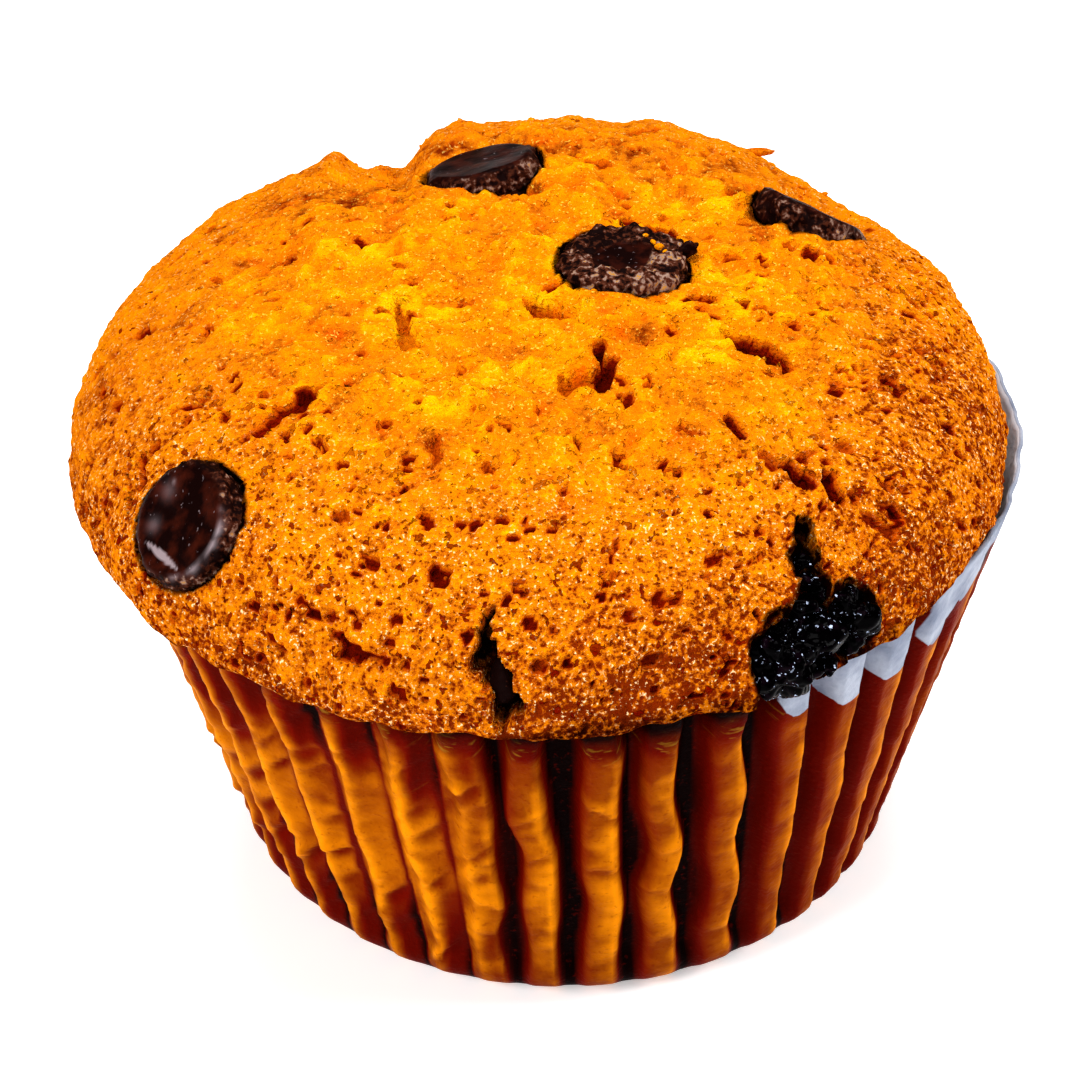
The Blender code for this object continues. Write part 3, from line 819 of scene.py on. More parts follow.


# Greased baking paper: golden brown where fat has soaked in, with painted light on the ridges and painted
# shade in the folds, blue-white at the dry rim
def greasedPaper():
    look = {
        **paperSurface,
        "ridge": "#8C4602",
        "paintedLit": "#E08804",
        "dry": "#A2A7B4",
        "dryShade": "#747B8C",
        # Over the ridge colour: painted shade (in the hollows, on a flute's dark side and in its fold),
        # random dark spots, painted highlights on the wrinkles, and painted shade under the crown
        "layers": {
            "paintedShade": "#6A0E00",
            "side": "#6A0E00",
            "fold": "#0E0000",
            "spots": "#6A0E00",
            "lines": "#96661C",
            "underCrownShade": "#0E0000",
        },
        "noises": {
            "patch": (3.0, 4.0, 0.5),
            "fibre": (0.5, 2.0, 0.5),  # real fibres are finer, and would not show
        },
        "marks": ("paintedLight", "paintedShade", "flute", "dry", "across", "sag", "crown", "underCrownShade"),
        "sums": (("dryEdge", "patch", 0.3, "dry"),),
        "ranges": {
            "worn": ("patch", 0.35, 0.7, 0.0, 1.0),
            "mottle": ("patch", 0.3, 0.7, -0.28, 0.28),
            "side": ("flute", 0.0, 0.55, 0.0, 1.0),
            "fold": ("flute", 0.45, 1.0, 0.0, 1.0),
            "spots": ("fibre", 0.60, 0.72, 0.0, 0.35),
            "dryEdge": ("dryEdge", 0.58, 0.68, 0.0, 1.0),
        },
        "wrinkleLength": 1.3,  # mm
        "wrinkleGap": 0.5,
    }
    material, tree, shader = newMaterial("greased baking paper")
    parts = addParts(tree, look)
    # The marks carry the large forms of the painted light and shade, and noise breaks their edges
    for name, operation in (("paintedLight", "SUBTRACT"), ("paintedShade", "ADD")):
        settings = {"operation": operation, "use_clamp": True}
        parts[name] = addNode(tree, "ShaderNodeMath", settings, {0: parts[name], 1: parts["mottle"]})
    # Small wrinkles that sag across each ridge: a bump, and painted highlights along them below the crown
    depth = addNode(tree, "ShaderNodeSeparateXYZ", {}, {0: parts["place"]})
    along = addNode(tree, "ShaderNodeCombineXYZ", {}, {0: parts["across"], 1: parts["sag"], 2: depth})
    stretch = (1 / look["wrinkleLength"], 1 / look["wrinkleGap"], 40)
    stretched = addNode(tree, "ShaderNodeVectorMath", {"operation": "MULTIPLY", 1: stretch}, {0: along})
    wrinkles = addNode(tree, "ShaderNodeTexNoise", {"Scale": 1.0, "Detail": 2.0}, {"Vector": stretched})
    lines = addNode(tree, "ShaderNodeMapRange", {"From Min": 0.58, "From Max": 0.70}, {"Value": wrinkles})
    links = {0: lines, 1: parts["crown"]}
    parts["lines"] = addNode(tree, "ShaderNodeMath", {"operation": "MULTIPLY"}, links)

    settings = {"data_type": "RGBA", 6: toLinear(look["ridge"]), 7: toLinear(look["paintedLit"])}
    colour = addNode(tree, "ShaderNodeMix", settings, {0: parts["paintedLight"]}, out=2)
    colour = layOver(tree, parts, look["layers"], colour)
    settings = {"data_type": "RGBA", 6: toLinear(look["dry"]), 7: toLinear(look["dryShade"])}
    dry = addNode(tree, "ShaderNodeMix", settings, {0: parts["worn"]}, out=2)
    links = {0: parts["dryEdge"], 6: colour, 7: dry}
    colour = addNode(tree, "ShaderNodeMix", {"data_type": "RGBA"}, links, out=2)
    settings = {"operation": "MULTIPLY_ADD", 1: 0.4}
    heights = addNode(tree, "ShaderNodeMath", settings, {0: wrinkles, 2: parts["fibre"]})
    finishShader(tree, shader, look, colour, heights)
    return material


# Dark chocolate, melted and set again: a glossy face, and a matt side that crumbs stick to
def chocolateMaterial():
    look = {
        "dark": "#140403",
        "brown": "#3A140A",
        "layers": {
            "rough": "#160706",
            "crumb": "#5E3220",
            "pale": "#A48A7C",
            "gold": "#B07818",
            # Painted highlights: the light on the left drop's face and pale dots on the smooth faces
            "sheen": "#A09094",
        },
        "noises": {"mottle": (1.6, 3.0, 0.5), "grain": (0.48, 2.0, 0.5)},
        "marks": ("rough", "crumbed", "sheen"),
        # Crumbs and pale bloom stick in patches: the more crumbed a place, the more of its grains show them
        "sums": (("stuck", "mottle", 0.5, "grain"), ("stuck", "crumbed", 0.20, "stuck")),
        "ranges": {
            "melted": ("mottle", 0.42, 0.66, 0.0, 1.0),
            "crumb": ("stuck", 0.74, 0.90, 0.0, 0.75),
            "pale": ("stuck", 0.91, 1.02, 0.0, 0.75),
            "gold": ("stuck", 1.05, 1.09, 0.0, 0.75),
            "glintDots": ("grain", 0.68, 0.74, 0.0, 1.0),
            "smooth": ("rough", 0.0, 1.0, 0.35, 0.0),
            "gloss": ("rough", 0.0, 1.0, 0.38, 0.55),
        },
        "products": (("crumb", "crumb", "rough"), ("pale", "pale", "rough"), ("gold", "gold", "rough")),
        "surface": {"IOR": 1.5, "Specular IOR Level": 0.02},
        "relief": (0.5, 0.2),
    }
    material, tree, shader = newMaterial("dark chocolate")
    parts = addParts(tree, look)
    # Painted highlights: pale dots on the smooth face, added to the painted light on the left drop's face
    settings = {"operation": "MULTIPLY_ADD", "use_clamp": True}
    links = {0: parts["glintDots"], 1: parts["smooth"], 2: parts["sheen"]}
    parts["sheen"] = addNode(tree, "ShaderNodeMath", settings, links)
    settings = {"data_type": "RGBA", 6: toLinear(look["dark"]), 7: toLinear(look["brown"])}
    colour = addNode(tree, "ShaderNodeMix", settings, {0: parts["melted"]}, out=2)
    colour = layOver(tree, parts, look["layers"], colour)
    tree.links.new(parts["gloss"], shader.inputs["Roughness"])
    finishShader(tree, shader, look, colour, parts["mottle"])
    return material


# Burst berry skin and juice: wet and nearly black, with a purple sheen and a few pinpoint glints painted as
# highlights
def berryMaterial():
    look = {
        "dark": "#010001",
        "skin": "#140610",
        # Painted highlights on the wetter grains
        "layers": {"glint": "#B8C4DC"},
        "noises": {"grain": (0.9, 3.0, 0.5), "fine": (0.30, 1.0, 0.5)},
        "ranges": {
            "purple": ("grain", 0.52, 0.72, 0.0, 1.0),
            "glint": ("fine", 0.65, 0.71, 0.0, 1.0),
            "wet": ("grain", 0.49, 0.56, 0.0, 1.0),
        },
        "products": (("glint", "glint", "wet"),),
        "surface": {"Roughness": 0.16, "Specular IOR Level": 0.02},
        "relief": (0.6, 0.14),
    }
    material, tree, shader = newMaterial("berry skin")
    parts = addParts(tree, look)
    settings = {"data_type": "RGBA", 6: toLinear(look["dark"]), 7: toLinear(look["skin"])}
    colour = addNode(tree, "ShaderNodeMix", settings, {0: parts["purple"]}, out=2)
    colour = layOver(tree, parts, look["layers"], colour)
    finishShader(tree, shader, look, colour, parts["grain"])
    return material


# Values at the knots, joined by soft bends
def easedAlong(z, knots, values):
    before = np.clip(np.searchsorted(knots, z) - 1, 0, len(knots) - 2)
    share = fade((z - knots[before]) / (knots[before + 1] - knots[before]), 0, 1)
    return values[before] + (values[before + 1] - values[before]) * share


# A plain wall with rows of points up its height
def plainWall():
    clearSelection()
    bpy.ops.mesh.primitive_cylinder_add(
        vertices=case["flutes"] * case["sidesAFlute"],
        radius=case["rimRadius"] * mm,
        depth=case["rimHeight"] * mm,
        end_fill_type="NOTHING",
        location=(0, 0, case["rimHeight"] * mm / 2),
    )
    bpy.ops.object.transform_apply(location=True, rotation=False, scale=False)
    obj = nameNew("case_paper")
    bpy.ops.object.mode_set(mode="EDIT")
    bpy.ops.mesh.select_mode(type="EDGE")
    bpy.ops.mesh.select_all(action="DESELECT")
    bpy.ops.object.mode_set(mode="OBJECT")
    ends = np.empty(len(obj.data.edges) * 2, np.int32)
    obj.data.edges.foreach_get("vertices", ends)
    heights = readPoints(obj)[:, 2][ends.reshape(-1, 2)]
    obj.data.edges.foreach_set("select", np.abs(heights[:, 0] - heights[:, 1]) > 1)
    bpy.ops.object.mode_set(mode="EDIT")
    bpy.ops.mesh.subdivide_edgering(number_cuts=case["rows"], interpolation="LINEAR")
    bpy.ops.object.mode_set(mode="OBJECT")
    return obj


# Draws the lowest edge in to a flat base
def closeBase(obj):
    bpy.ops.object.mode_set(mode="EDIT")
    bpy.ops.mesh.select_all(action="DESELECT")
    bpy.ops.object.mode_set(mode="OBJECT")
    obj.data.vertices.foreach_set("select", readPoints(obj)[:, 2] < 0.01)
    bpy.ops.object.mode_set(mode="EDIT")
    bpy.ops.mesh.select_mode(type="VERT")
    for scale in case["baseRings"]:
        bpy.ops.mesh.extrude_edges_move()
        bpy.ops.transform.resize(value=(scale, scale, 1), center_override=(0, 0, 0))
    closeEdge()


def makeCase():
    obj = plainWall()
    flutes = case["flutes"]
    flat = readPoints(obj)
    azimuth = np.arctan2(flat[:, 1], flat[:, 0])
    level = flat[:, 2] / case["rimHeight"]
    bend = case["cornerShare"]
    corner = case["cornerRadius"]
    turn = np.clip(level / bend, 0, 1) * math.pi / 2
    above = np.clip((level - bend) / (1 - bend), 0, 1)
    wall = corner + above * (case["rimHeight"] - corner)
    height = np.where(level < bend, corner * (1 - np.cos(turn)), wall)
    place = (azimuth - math.radians(case["firstRidge"])) / math.tau * flutes
    number = np.round(place)
    share = place - number
    rolled = np.column_stack((azimuth * case["meanRadius"], height, number * 0))
    free = fade(height, 2, 8) * (1 - fade(height, 34, 40))

    # The greased left side is creased all over, the right side stands straight
    turned = np.degrees(azimuth)
    creased = np.clip(fade(-turned, 97, 108), 0, 1) + fade(turned, 130, 150)
    rightward = fade(turned, -86, -60) * (1 - fade(turned, 100, 130))
    kinks, pinch, crimps, folds, topShade, lowShade = np.zeros((6, len(flat)))
    for lane in range(flutes):
        near = np.flatnonzero((number % flutes) == lane)
        z = height[near]
        s = share[near]
        at = np.array(case["knots"]) + np.pad(dice.uniform(-1, 1, 5), 1)
        kinks[near] = easedAlong(z, at, np.pad(dice.uniform(-1, 1, 5), 1))
        pinch[near] = easedAlong(z, at, dice.uniform(-1, 1, 7))
        for knot in at[1:6]:
            line = z - knot - dice.uniform(-5, 5) * s
            strength = dice.uniform(0, 1) ** 1.5
            crimps[near] -= strength * np.exp(-((line / 0.5) ** 2))
            crimps[near] += 0.9 * strength * np.exp(-(((line - 1.0) / 0.7) ** 2))
        for _ in range(7):
            line = z - dice.uniform(5, 33) - dice.uniform(2, 6) * s
            window = np.exp(-(((s - dice.uniform(-0.1, 0.3)) / 0.32) ** 2))
            half = dice.uniform(0.35, 0.9)
            strength = dice.uniform(0.3, 1)
            folds[near] += strength * window * np.exp(-((line / half) ** 2))
            folds[near] -= strength * window * np.exp(-(((line + 1.6 * half) / (1.2 * half)) ** 2))
        # Painted shade in the hollows: towards the top from a random height, and near the foot
        tip = dice.uniform(19, 28)
        topShade[near] = fade(z, tip + 6 * s, tip + 7 + 6 * s)
        lowShade[near] = 1 - fade(z - 4 * s, 6, dice.uniform(12, 19))
    across = share - kinks * (0.13 - 0.07 * rightward) * free
    narrow = 0.06 * pinch * free
    valley = fade(np.abs(across), 0.19 - narrow, 0.42 - narrow)
    hollow = np.where(across > -0.2, 0.8 * fade(across, -0.2, 0.40), 0.8 * fade(-across, 0.2, 0.5))
    valley += creased * (hollow - valley)
    # Painted shade of a flute: its side towards +azimuth stays light, the other falls away into the fold
    light = 0.22 * rightward
    lit = np.clip((across + 0.42) / (light + 0.42), 0, 1) ** (0.6 + 0.4 * rightward)
    away = fade(across, 0.22 - narrow, 0.38 - narrow)
    shade = np.where(across < light, (1 - lit) * (1 - 0.25 * rightward), away)
    inHollow = fade(across, -0.16, 0.12)
    hollowShade = inHollow * (0.20 + 0.50 * topShade + 0.40 * lowShade) + 0.40 * fade(across, 0.28, 0.5)
    shade += creased * (np.clip(hollowShade + 0.25 * fade(-across, 0.34, 0.5), 0, 1) - shade)
    crinkle = grainOf(rolled * np.array((0.6, 1.0, 1.0)), 1.3, 29)

    start, full, less, end = case["clear"]
    clear = fade(turned, start, full) * (1 - fade(turned, less, end))
    atRim = fade(height, 33, 40.3)
    flattened = fade(height, 28, 35.5)
    depth = fluteDepth(height) * (1 - 0.30 * creased * free) * (1 - 0.93 * clear * flattened)
    radius = ridgeRadius(height) - depth * valley
    radius += (0.22 - 0.12 * rightward) * crimps * free * (1 - valley)
    radius += 0.50 * creased * folds * free
    radius += 0.07 * crinkle * free
    radius += 0.10 * grainOf(rolled, 2.5, 24) * free
    radius += 0.2 * clear * atRim**2
    leaned = azimuth + fanOf(azimuth) * (1 - height / case["rimHeight"])
    rimWave = grainOf(rolled * np.array((1, 0, 0)), 7.0, 25)
    radius += 0.35 * rimWave * clear * atRim
    radius -= rimPull(azimuth, height)
    rise = (0.9 + 0.6 * rimWave) * clear * atRim**2 * (1 - fade(turned, 3, 20))
    writePoints(obj, np.column_stack((radius * np.cos(leaned), radius * np.sin(leaned), height + rise)))

    # Dry paper at the rim, where no fat has soaked in
    dry = clear * fade(height, 36.8, 39.2)
    for tongueAt, tip, half in case["tongues"]:
        away = np.abs(np.degrees(leaned) - tongueAt) * math.pi / 180 * case["tongueRadius"]
        room = half * np.sqrt(np.clip((height - tip) / 2.2, 0, 1))
        dry = np.maximum(dry, np.clip(0.5 + 0.9 * (room - away), 0, 1) * (height > tip))
    # Painted light: highlights on each ridge's edge and ridge line, a lighter middle height, and light on
    # crinkles, folds and crimps
    edgeLight = np.exp(-(((across - 0.19) / 0.07) ** 2)) * (1 - creased) * (1 - fade(height, 34, 38))
    ridgeHighlight = creased * np.exp(-(((across + 0.20) / 0.10) ** 2))
    bellyLight = np.exp(-(((height - 17) / 9) ** 2))
    paintedLight = 0.10 * creased + 0.45 * bellyLight * (1 - 0.5 * rightward) + 0.5 * edgeLight + 0.45 * ridgeHighlight
    paintedLight += 0.30 * crinkle * (1 - shade) + 0.9 * creased * folds + 0.30 * crimps * (1 - creased)
    # Painted shade: in the creased hollows, under the folds and crimps, near the foot, near the top and below
    # the crown's edge
    paintedShade = creased * (inHollow * (0.8 * topShade + 0.6 * lowShade) + 1.1 * np.clip(-folds, 0, 1))
    paintedShade *= 1 - 0.8 * ridgeHighlight
    paintedShade += 0.25 * np.clip(-crimps, 0, 1) + 0.35 * (1 - fade(height, 1, 6))
    # Below this height the crown leaves the paper in the light
    front, side = case["covered"]
    covered = front + (side - front) * np.abs(np.cos(azimuth)) ** 1.5
    paintedShade += 0.20 * fade(height, 29, 35) + 0.7 * fade(height, covered - 4.5, covered - 0.5) * (1 - clear)
    # Painted shade right below the crown's edge
    underCrownShade = 0.5 * fade(height, covered - 3, covered) + 0.5 * fade(height, covered - 0.5, covered + 0.9)
    # Painted highlights on the wrinkles just below the crown's edge, and on the crimps
    lines = fade(height, covered - 3, covered - 1.4) * (1 - clear) + 0.3 * np.clip(-crimps, 0, 1)
    marks = {
        "flute": np.clip(shade, 0, 1),
        "paintedLight": np.clip(paintedLight, 0, 1),
        "paintedShade": np.clip(paintedShade, 0, 1),
        "underCrownShade": underCrownShade * (1 - clear),
        "crown": lines * (1 - shade),
        "dry": dry,
        "across": share * case["fluteWidth"],  # mm across the flute
        "sag": height - case["sag"] * share**2,  # mm up a line that sags in the middle of the flute
    }
    for name, values in marks.items():
        writeMark(obj, name, values)

    closeBase(obj)
    obj.data.materials.append(greasedPaper())
    obj.data.materials.append(dryPaper())
    wall = obj.modifiers.new("paper", "SOLIDIFY")
    wall.thickness = case["paper"] * mm
    wall.offset = -1
    wall.material_offset = 1
    bpy.ops.object.modifier_apply(modifier=wall.name)
    finishPiece(obj, [], "paper_case")


# Turns points made round +Z to a direction, and moves them to a middle
def faceAlong(points, middlePoint, facing):
    turn = Vector((0, 0, 1)).rotation_difference(Vector(facing).normalized()).to_matrix()
    return points @ np.array(turn).T + np.array(middlePoint)


# Painted light on the face of the left drop, in mm from its middle
faceLight = {
    "reflection": ((-3.73, -0.08), (-0.75, -4.07)),  # ends of a lens-shaped painted reflection
    "reflectionHalf": 0.32,
    "reflectionShift": 0.12,
    "soft": 0.06,
    "amount": 0.75,  # of the painted reflection and of the painted light on the bevel
    "bevel": (0.45, 0.20),  # in from the edge, and its half width
    "bevelTurn": (235, 265, 335, 355),  # degrees where it comes up and where it goes
    # Soft patches of painted light: x, y, size, amount
    "patches": ((-0.4, 2.9, 0.7, 0.18), (-2.5, 0.85, 0.6, 0.22), (0.3, 3.3, 0.25, 0.35)),
}


# Painted highlights on the left drop's face: a reflection, the lit bevel and soft patches
def faceSheen(flat, azimuth, radius):
    start, end = (np.array(place) for place in faceLight["reflection"])
    length = np.linalg.norm(end - start)
    run = (end - start) / length
    apart = flat[:, :2] - start
    side = np.abs(apart @ np.array((-run[1], run[0])) - faceLight["reflectionShift"])
    half = faceLight["reflectionHalf"] * np.sin(math.pi * np.clip(apart @ run / length, 0, 1))
    soft = faceLight["soft"]
    sheen = faceLight["amount"] * (1 - fade(side, half - soft, half + soft)) * (half > 0.03)
    turned = np.degrees(azimuth) % 360
    inwards, wide = faceLight["bevel"]
    up, full, down, none = faceLight["bevelTurn"]
    reach = np.hypot(flat[:, 0], flat[:, 1])
    bevel = np.exp(-(((reach - radius + inwards) / wide) ** 2)) * (flat[:, 2] > 0)
    bevel *= np.clip(0.55 + 0.9 * grainOf(flat, 0.8, 77), 0.1, 1)
    lit = fade(turned, up, full) * (1 - fade(turned, down, none))
    sheen = np.maximum(sheen, faceLight["amount"] * bevel * lit)
    for x, y, size, amount in faceLight["patches"]:
        patch = np.exp(-((flat[:, 0] - x) ** 2 + (flat[:, 1] - y) ** 2) / size**2)
        sheen = np.maximum(sheen, amount * patch)
    return sheen * (flat[:, 2] > 0)


def makeDrop(name, material):
    middlePoint, facing, radius, thickness, crumbShare = drops[name]
    half = thickness / 2
    pooled = name == "centre"
    obj, share, azimuth = gridDisc("drop_" + name, 76)
    if pooled:
        profile = ((0, half - 0.42), (2.3, half - 0.38), (2.7, half - 0.15), (3.6, half))
        profile += ((radius - 0.7, half - 0.1),)
    else:
        profile = ((0, half - 0.12), (radius * 0.55, half - 0.06))
        profile += ((radius - 0.9, half + 0.02), (radius - 0.6, half))
    profile += ((radius - 0.25, half - 0.25), (radius, half - 0.8), (radius, -0.3), (radius - 0.5, -half))
    reach, height = np.array(profile).T
    travel = np.concatenate(((0,), np.cumsum(np.hypot(np.diff(reach), np.diff(height)))))
    where = share * travel[-1]
    r = np.interp(where, travel, reach)
    z = np.interp(where, travel, height)
    flat = np.column_stack((r * np.cos(azimuth), r * np.sin(azimuth), z))
    writePoints(obj, flat)
    normals = readNormals(obj)
    if normals[np.argmin(r), 2] < 0:
        normals = -normals
    seed = len(name) * 3.0
    wall = fade(r, radius - 0.55, radius - 0.1)
    rough = wall * 0.8
    if pooled:
        rough = np.maximum(rough, fade(r + 0.4 * grainOf(flat, 1.5, seed + 1), 2.35, 2.7))
    near = cellsOf(flat, 0.9, seed + 2)[0]
    uneven = grainOf(flat, 1.9, seed + 4)
    bumps = 0.10 * grainOf(flat, 2.6, seed) * (1 - rough)
    bumps += rough * (0.42 * (0.5 - near) + 0.30 * uneven + 0.20 * grainOf(flat, 0.6, seed + 3))
    points = flat + normals * bumps[:, None]
    wobble = (0.05 if pooled else 0.02) * grainOf(flat * np.array((1, 1, 0)), 3.2, seed + 5)
    points[:, :2] *= (1 + wobble)[:, None]
    # Crumbs stick most on the side that looks to the front right
    side = 0.5 + 0.5 * np.cos(azimuth - math.radians(-50))
    crumbed = np.clip(crumbShare + (0.8 * side - 0.3) + 0.5 * uneven, -1, 1)
    writePoints(obj, faceAlong(points, middlePoint, facing))
    edgeLoop(obj)
    closeEdge()
    writeMark(obj, "rough", rough)
    writeMark(obj, "crumbed", crumbed)
    writeMark(obj, "sheen", faceSheen(flat, azimuth, radius) if name == "left" else np.zeros(len(flat)))
    finishPiece(obj, [material], "chocolate_drop_" + name)


def makeBerry(name, material):
    middlePoint, halfSizes = berries[name]
    clearSelection()
    bpy.ops.mesh.primitive_ico_sphere_add(subdivisions=6, radius=1)
    obj = nameNew("berry_" + name + "_skin")
    ball = readPoints(obj) * mm
    points = ball * np.array(halfSizes)
    seed = len(name) * 5.0
    near = cellsOf(points, 0.85, seed)[0]
    big = cellsOf(points, 1.9, seed + 1)[0]
    swell = 0.45 * (0.42 - near) + 1.5 * (0.5 - big) + 0.7 * grainOf(points, 2.5, seed + 2)
    points += ball * swell[:, None]
    points += np.array(middlePoint)
    writePoints(obj, points)
    finishPiece(obj, [material], "berry_" + name)


def makeCrackFilling(material):
    clearSelection()
    bpy.ops.mesh.primitive_ico_sphere_add(subdivisions=5, radius=1)
    obj = nameNew("crack_chocolate")
    ball = readPoints(obj) * mm
    low, high = (np.array(v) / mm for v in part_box("chocolate_in_crack"))
    points = ball * (high - low) / 2 * np.array((1.0, 0.9, 1.0)) + (low + high) / 2
    near = cellsOf(points, 1.1, 41)[0]
    points += ball * (0.4 * (0.5 - near))[:, None]
    writePoints(obj, points)
    writeMark(obj, "rough", np.ones(len(points)))
    writeMark(obj, "crumbed", np.full(len(points), -1.0))
    finishPiece(obj, [material], "chocolate_in_crack")


# Loose crumbs and lumps, each a small stone-like shape: middle and radius
crumbs = {
    "onCrust": 170,
    "crustSizes": (0.16, 0.42),
    "chocolate": (
        ((-23.6, -28.6, 50.7), 0.55),
        ((-23.0, -29.4, 50.6), 0.35),
        ((-23.9, -30.3, 50.0), 0.50),
        ((-24.4, -31.2, 49.2), 0.40),
        ((-22.6, -28.0, 51.5), 0.30),
        ((-23.9, -27.2, 51.6), 0.45),
        ((-25.2, -32.0, 48.4), 0.35),
        ((-24.9, -24.6, 52.2), 0.35),
        ((10.9, -0.3, 57.7), 0.85),
        ((10.2, 0.8, 57.6), 0.55),
        ((11.3, 0.9, 57.2), 0.50),
        ((-3.2, 11.4, 56.4), 0.60),
        ((-2.2, 12.2, 56.1), 0.50),
        ((24.8, 6.6, 54.5), 0.50),
    ),
    "pale": (
        ((2.9, -6.6, 57.7), 0.30),
        ((4.4, -6.9, 57.6), 0.34),
        ((7.0, -6.5, 57.7), 0.30),
        ((8.9, -4.6, 57.9), 0.38),
        ((8.4, -1.0, 58.4), 0.40),
        ((8.0, -0.2, 58.4), 0.30),
        ((8.9, -1.7, 58.3), 0.26),
        ((7.4, 0.9, 58.4), 0.24),
        ((-7.6, 11.1, 56.2), 0.30),
        ((-1.8, 14.2, 56.4), 0.30),
        ((20.0, 7.4, 55.0), 0.30),
    ),
    # Burst berry between the two whole ones and in the crevice above them
    "pulp": (
        ((18.6, -36.6, 45.4), 2.1),
        ((17.6, -35.6, 47.4), 1.5),
        ((18.1, -34.0, 48.5), 1.0),
        ((17.8, -32.9, 49.6), 0.8),
        ((12.6, -38.9, 44.9), 0.9),
        ((13.3, -39.4, 43.2), 0.8),
        ((19.0, -34.3, 47.4), 0.9),
        ((22.9, -32.0, 46.2), 0.9),
        ((19.6, -37.9, 43.6), 0.9),
    ),
    "flake": ((18.4, 24.2, 53.0), (1.4, 0.5, 0.45)),
}


# Joined lumps: each spot gives a middle and one radius or three
def scatterLumps(name, spots, material, detail=2):
    clearSelection()
    bpy.ops.mesh.primitive_ico_sphere_add(subdivisions=detail, radius=1)
    lump = bpy.context.object
    ball = readPoints(lump) * mm
    corners = np.array([tuple(face.vertices) for face in lump.data.polygons])
    bpy.data.objects.remove(lump)
    points = []
    faces = []
    for index, (middlePoint, radii) in enumerate(spots):
        turn = Matrix.Rotation(dice.uniform(0, math.tau), 3, "Z")
        turn = turn @ Matrix.Rotation(dice.uniform(0, 3), 3, "X")
        if isinstance(radii, tuple):
            turn = Matrix.Identity(3)
        else:
            radii = (radii, 0.8 * radii, 0.65 * radii)
        rough = ball * (1 + 0.32 * grainOf(ball, 0.8, 50 + index % 23))[:, None] * np.array(radii)
        points.append(rough @ np.array(turn).T + np.array(middlePoint))
        faces.append(corners + index * len(ball))
    mesh = bpy.data.meshes.new(name)
    mesh.from_pydata((np.concatenate(points) * mm).tolist(), [], np.concatenate(faces).tolist())
    obj = bpy.data.objects.new(name, mesh)
    bpy.context.scene.collection.objects.link(obj)
    finishPiece(obj, [material], None)
    return obj, len(ball)


def makeCrumbs(cakeObj, crust, chocolate, berrySkin):
    surface = readPoints(cakeObj)
    normals = readNormals(cakeObj)
    baked = np.empty(len(surface), np.float32)
    cakeObj.data.attributes["bake"].data.foreach_get("value", baked)
    free = np.flatnonzero((surface[:, 2] > 46) & (np.hypot(surface[:, 0], surface[:, 1]) < 36))
    spots = []
    bakes = []
    for vertex in dice.choice(free, crumbs["onCrust"], replace=False):
        size = dice.uniform(*crumbs["crustSizes"])
        middlePoint = surface[vertex] - normals[vertex] * size * 0.1
        if min(np.linalg.norm(middlePoint - np.array(drop[0])) for drop in drops.values()) > 6.2:
            spots.append((tuple(middlePoint), size))
            bakes.append(baked[vertex])
    spots += list(crumbs["pale"]) + [crumbs["flake"]]
    bakes += [0.30] * len(crumbs["pale"]) + [0.75]
    made, each = scatterLumps("cake_crumbs", spots, crust)
    writeMark(made, "bake", np.repeat(bakes, each))
    writeMark(made, "middle", np.full(each * len(spots), 0.6))
    dark, each = scatterLumps("chocolate_crumbs", crumbs["chocolate"], chocolate, 3)
    for name in ("rough", "crumbed"):
        writeMark(dark, name, np.full(each * len(crumbs["chocolate"]), 0.15))
    scatterLumps("berry_pulp", crumbs["pulp"], berrySkin, 4)


print("making the cake")
cakePiece = makeCake()
crustLook = crustMaterial()
finishPiece(cakePiece, [crustLook], "cake")
print("making the paper case")
makeCase()
print("making the drops, berries and crack filling")
chocolate = chocolateMaterial()
for dropName in drops:
    makeDrop(dropName, chocolate)
berrySkin = berryMaterial()
for berryName in berries:
    makeBerry(berryName, berrySkin)
makeCrackFilling(chocolate)
print("making the crumbs")
makeCrumbs(cakePiece, crustLook, chocolate, berrySkin)


# Table, lights and camera

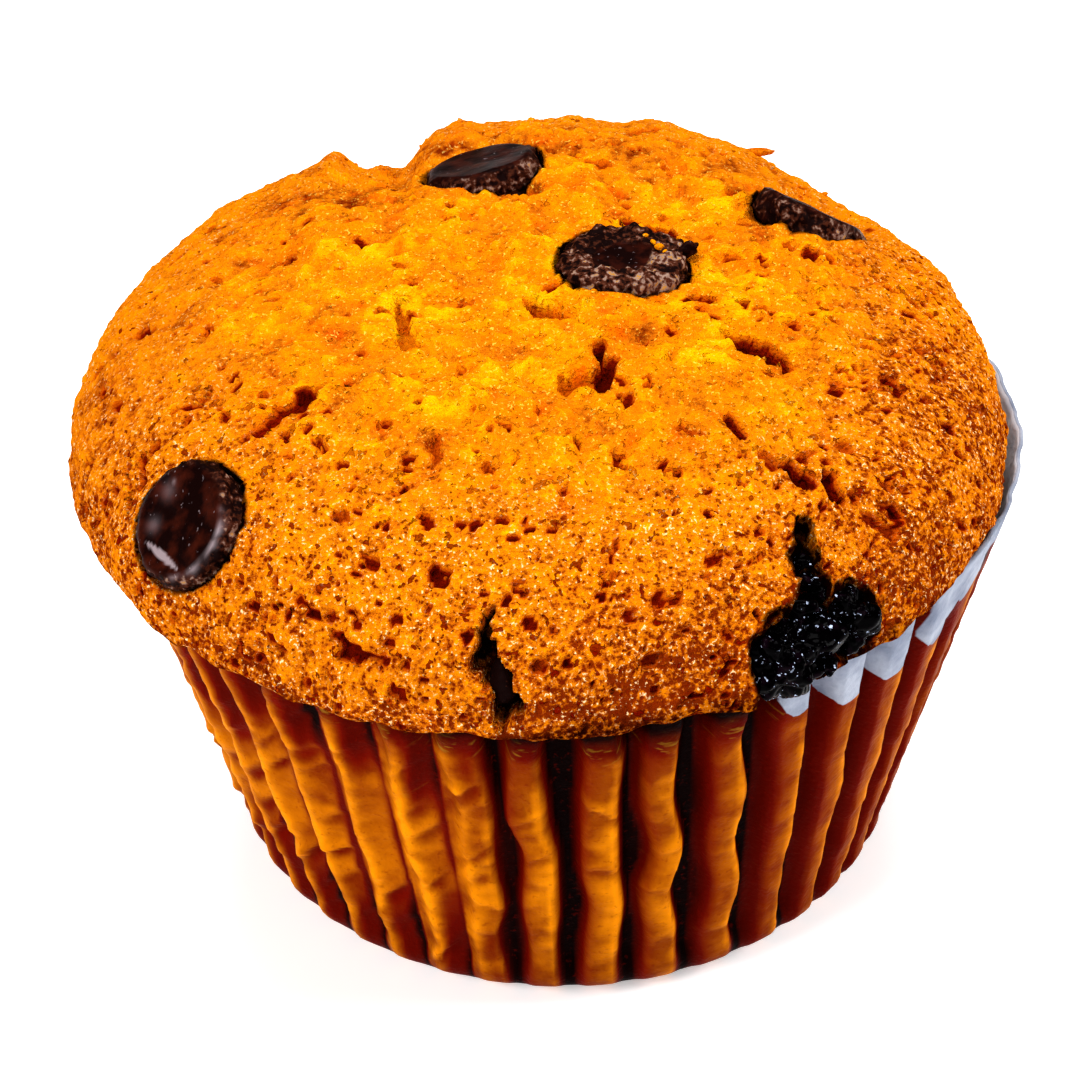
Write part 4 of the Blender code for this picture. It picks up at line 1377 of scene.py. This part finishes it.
studio = {
    "tableSize": 6.0,  # metres
    "table": "#FFFFFF",
    "tableGlow": 0.30,  # a lit white table keeps the shadow faint
    "sky": "#FFFFFF",
    "skyStrength": 0.20,
    # Soft lights: place, size, power in watts
    "lights": (
        ((-0.52, -0.42, 0.50), 0.30, 3.6),
        ((0.60, -0.05, 0.40), 0.25, 2.6),
        ((0.0, 0.15, 0.80), 0.50, 5.2),
        ((-0.10, -0.80, 0.60), 0.20, 1.0),
    ),
    "aim": (0, 0, 0.04),
    "eye": (-1.882, -215.674, 186.300),
    "lookAt": (-1.882, 0.0, 28.09),  # mm, as the eye
    "roll": -1.32,  # degrees
    "lens": 101.0,
}


def makeStudio():
    clearSelection()
    bpy.ops.mesh.primitive_plane_add(size=studio["tableSize"], location=(0, 0, 0))
    table = bpy.context.object
    table.name = "table"
    material, _, shader = newMaterial("white table")
    shader.inputs["Base Color"].default_value = toLinear(studio["table"])
    shader.inputs["Roughness"].default_value = 0.9
    shader.inputs["Specular IOR Level"].default_value = 0.1
    shader.inputs["Emission Color"].default_value = toLinear(studio["table"])
    shader.inputs["Emission Strength"].default_value = studio["tableGlow"]
    table.data.materials.append(material)
    for index, (place, size, power) in enumerate(studio["lights"]):
        bpy.ops.object.light_add(type="AREA", location=place)
        light = bpy.context.object
        light.name = "soft light %d" % (index + 1)
        light.data.size = size
        light.data.energy = power
        light.rotation_euler = (Vector(place) - Vector(studio["aim"])).to_track_quat("Z", "Y").to_euler()
    world = bpy.data.worlds.new("white room")
    world.use_nodes = True
    sky = world.node_tree.nodes["Background"]
    sky.inputs["Color"].default_value = toLinear(studio["sky"])
    sky.inputs["Strength"].default_value = studio["skyStrength"]
    bpy.context.scene.world = world


def makeCamera():
    bpy.ops.object.camera_add()
    camera = bpy.context.object
    eye = Vector(studio["eye"]) * mm
    back = (eye - Vector(studio["lookAt"]) * mm).normalized()
    turn = back.to_track_quat("Z", "Y").to_matrix()
    turn = turn @ Matrix.Rotation(math.radians(studio["roll"]), 3, "Z")
    camera.matrix_world = Matrix.Translation(eye) @ turn.to_4x4()
    camera.data.lens = studio["lens"]
    camera.data.sensor_width = 36
    camera.data.clip_start = 0.01
    bpy.context.scene.camera = camera
    bpy.context.scene.view_settings.view_transform = "Standard"
    bpy.context.scene.view_settings.look = "Medium High Contrast"


print("making the studio")
makeStudio()
makeCamera()
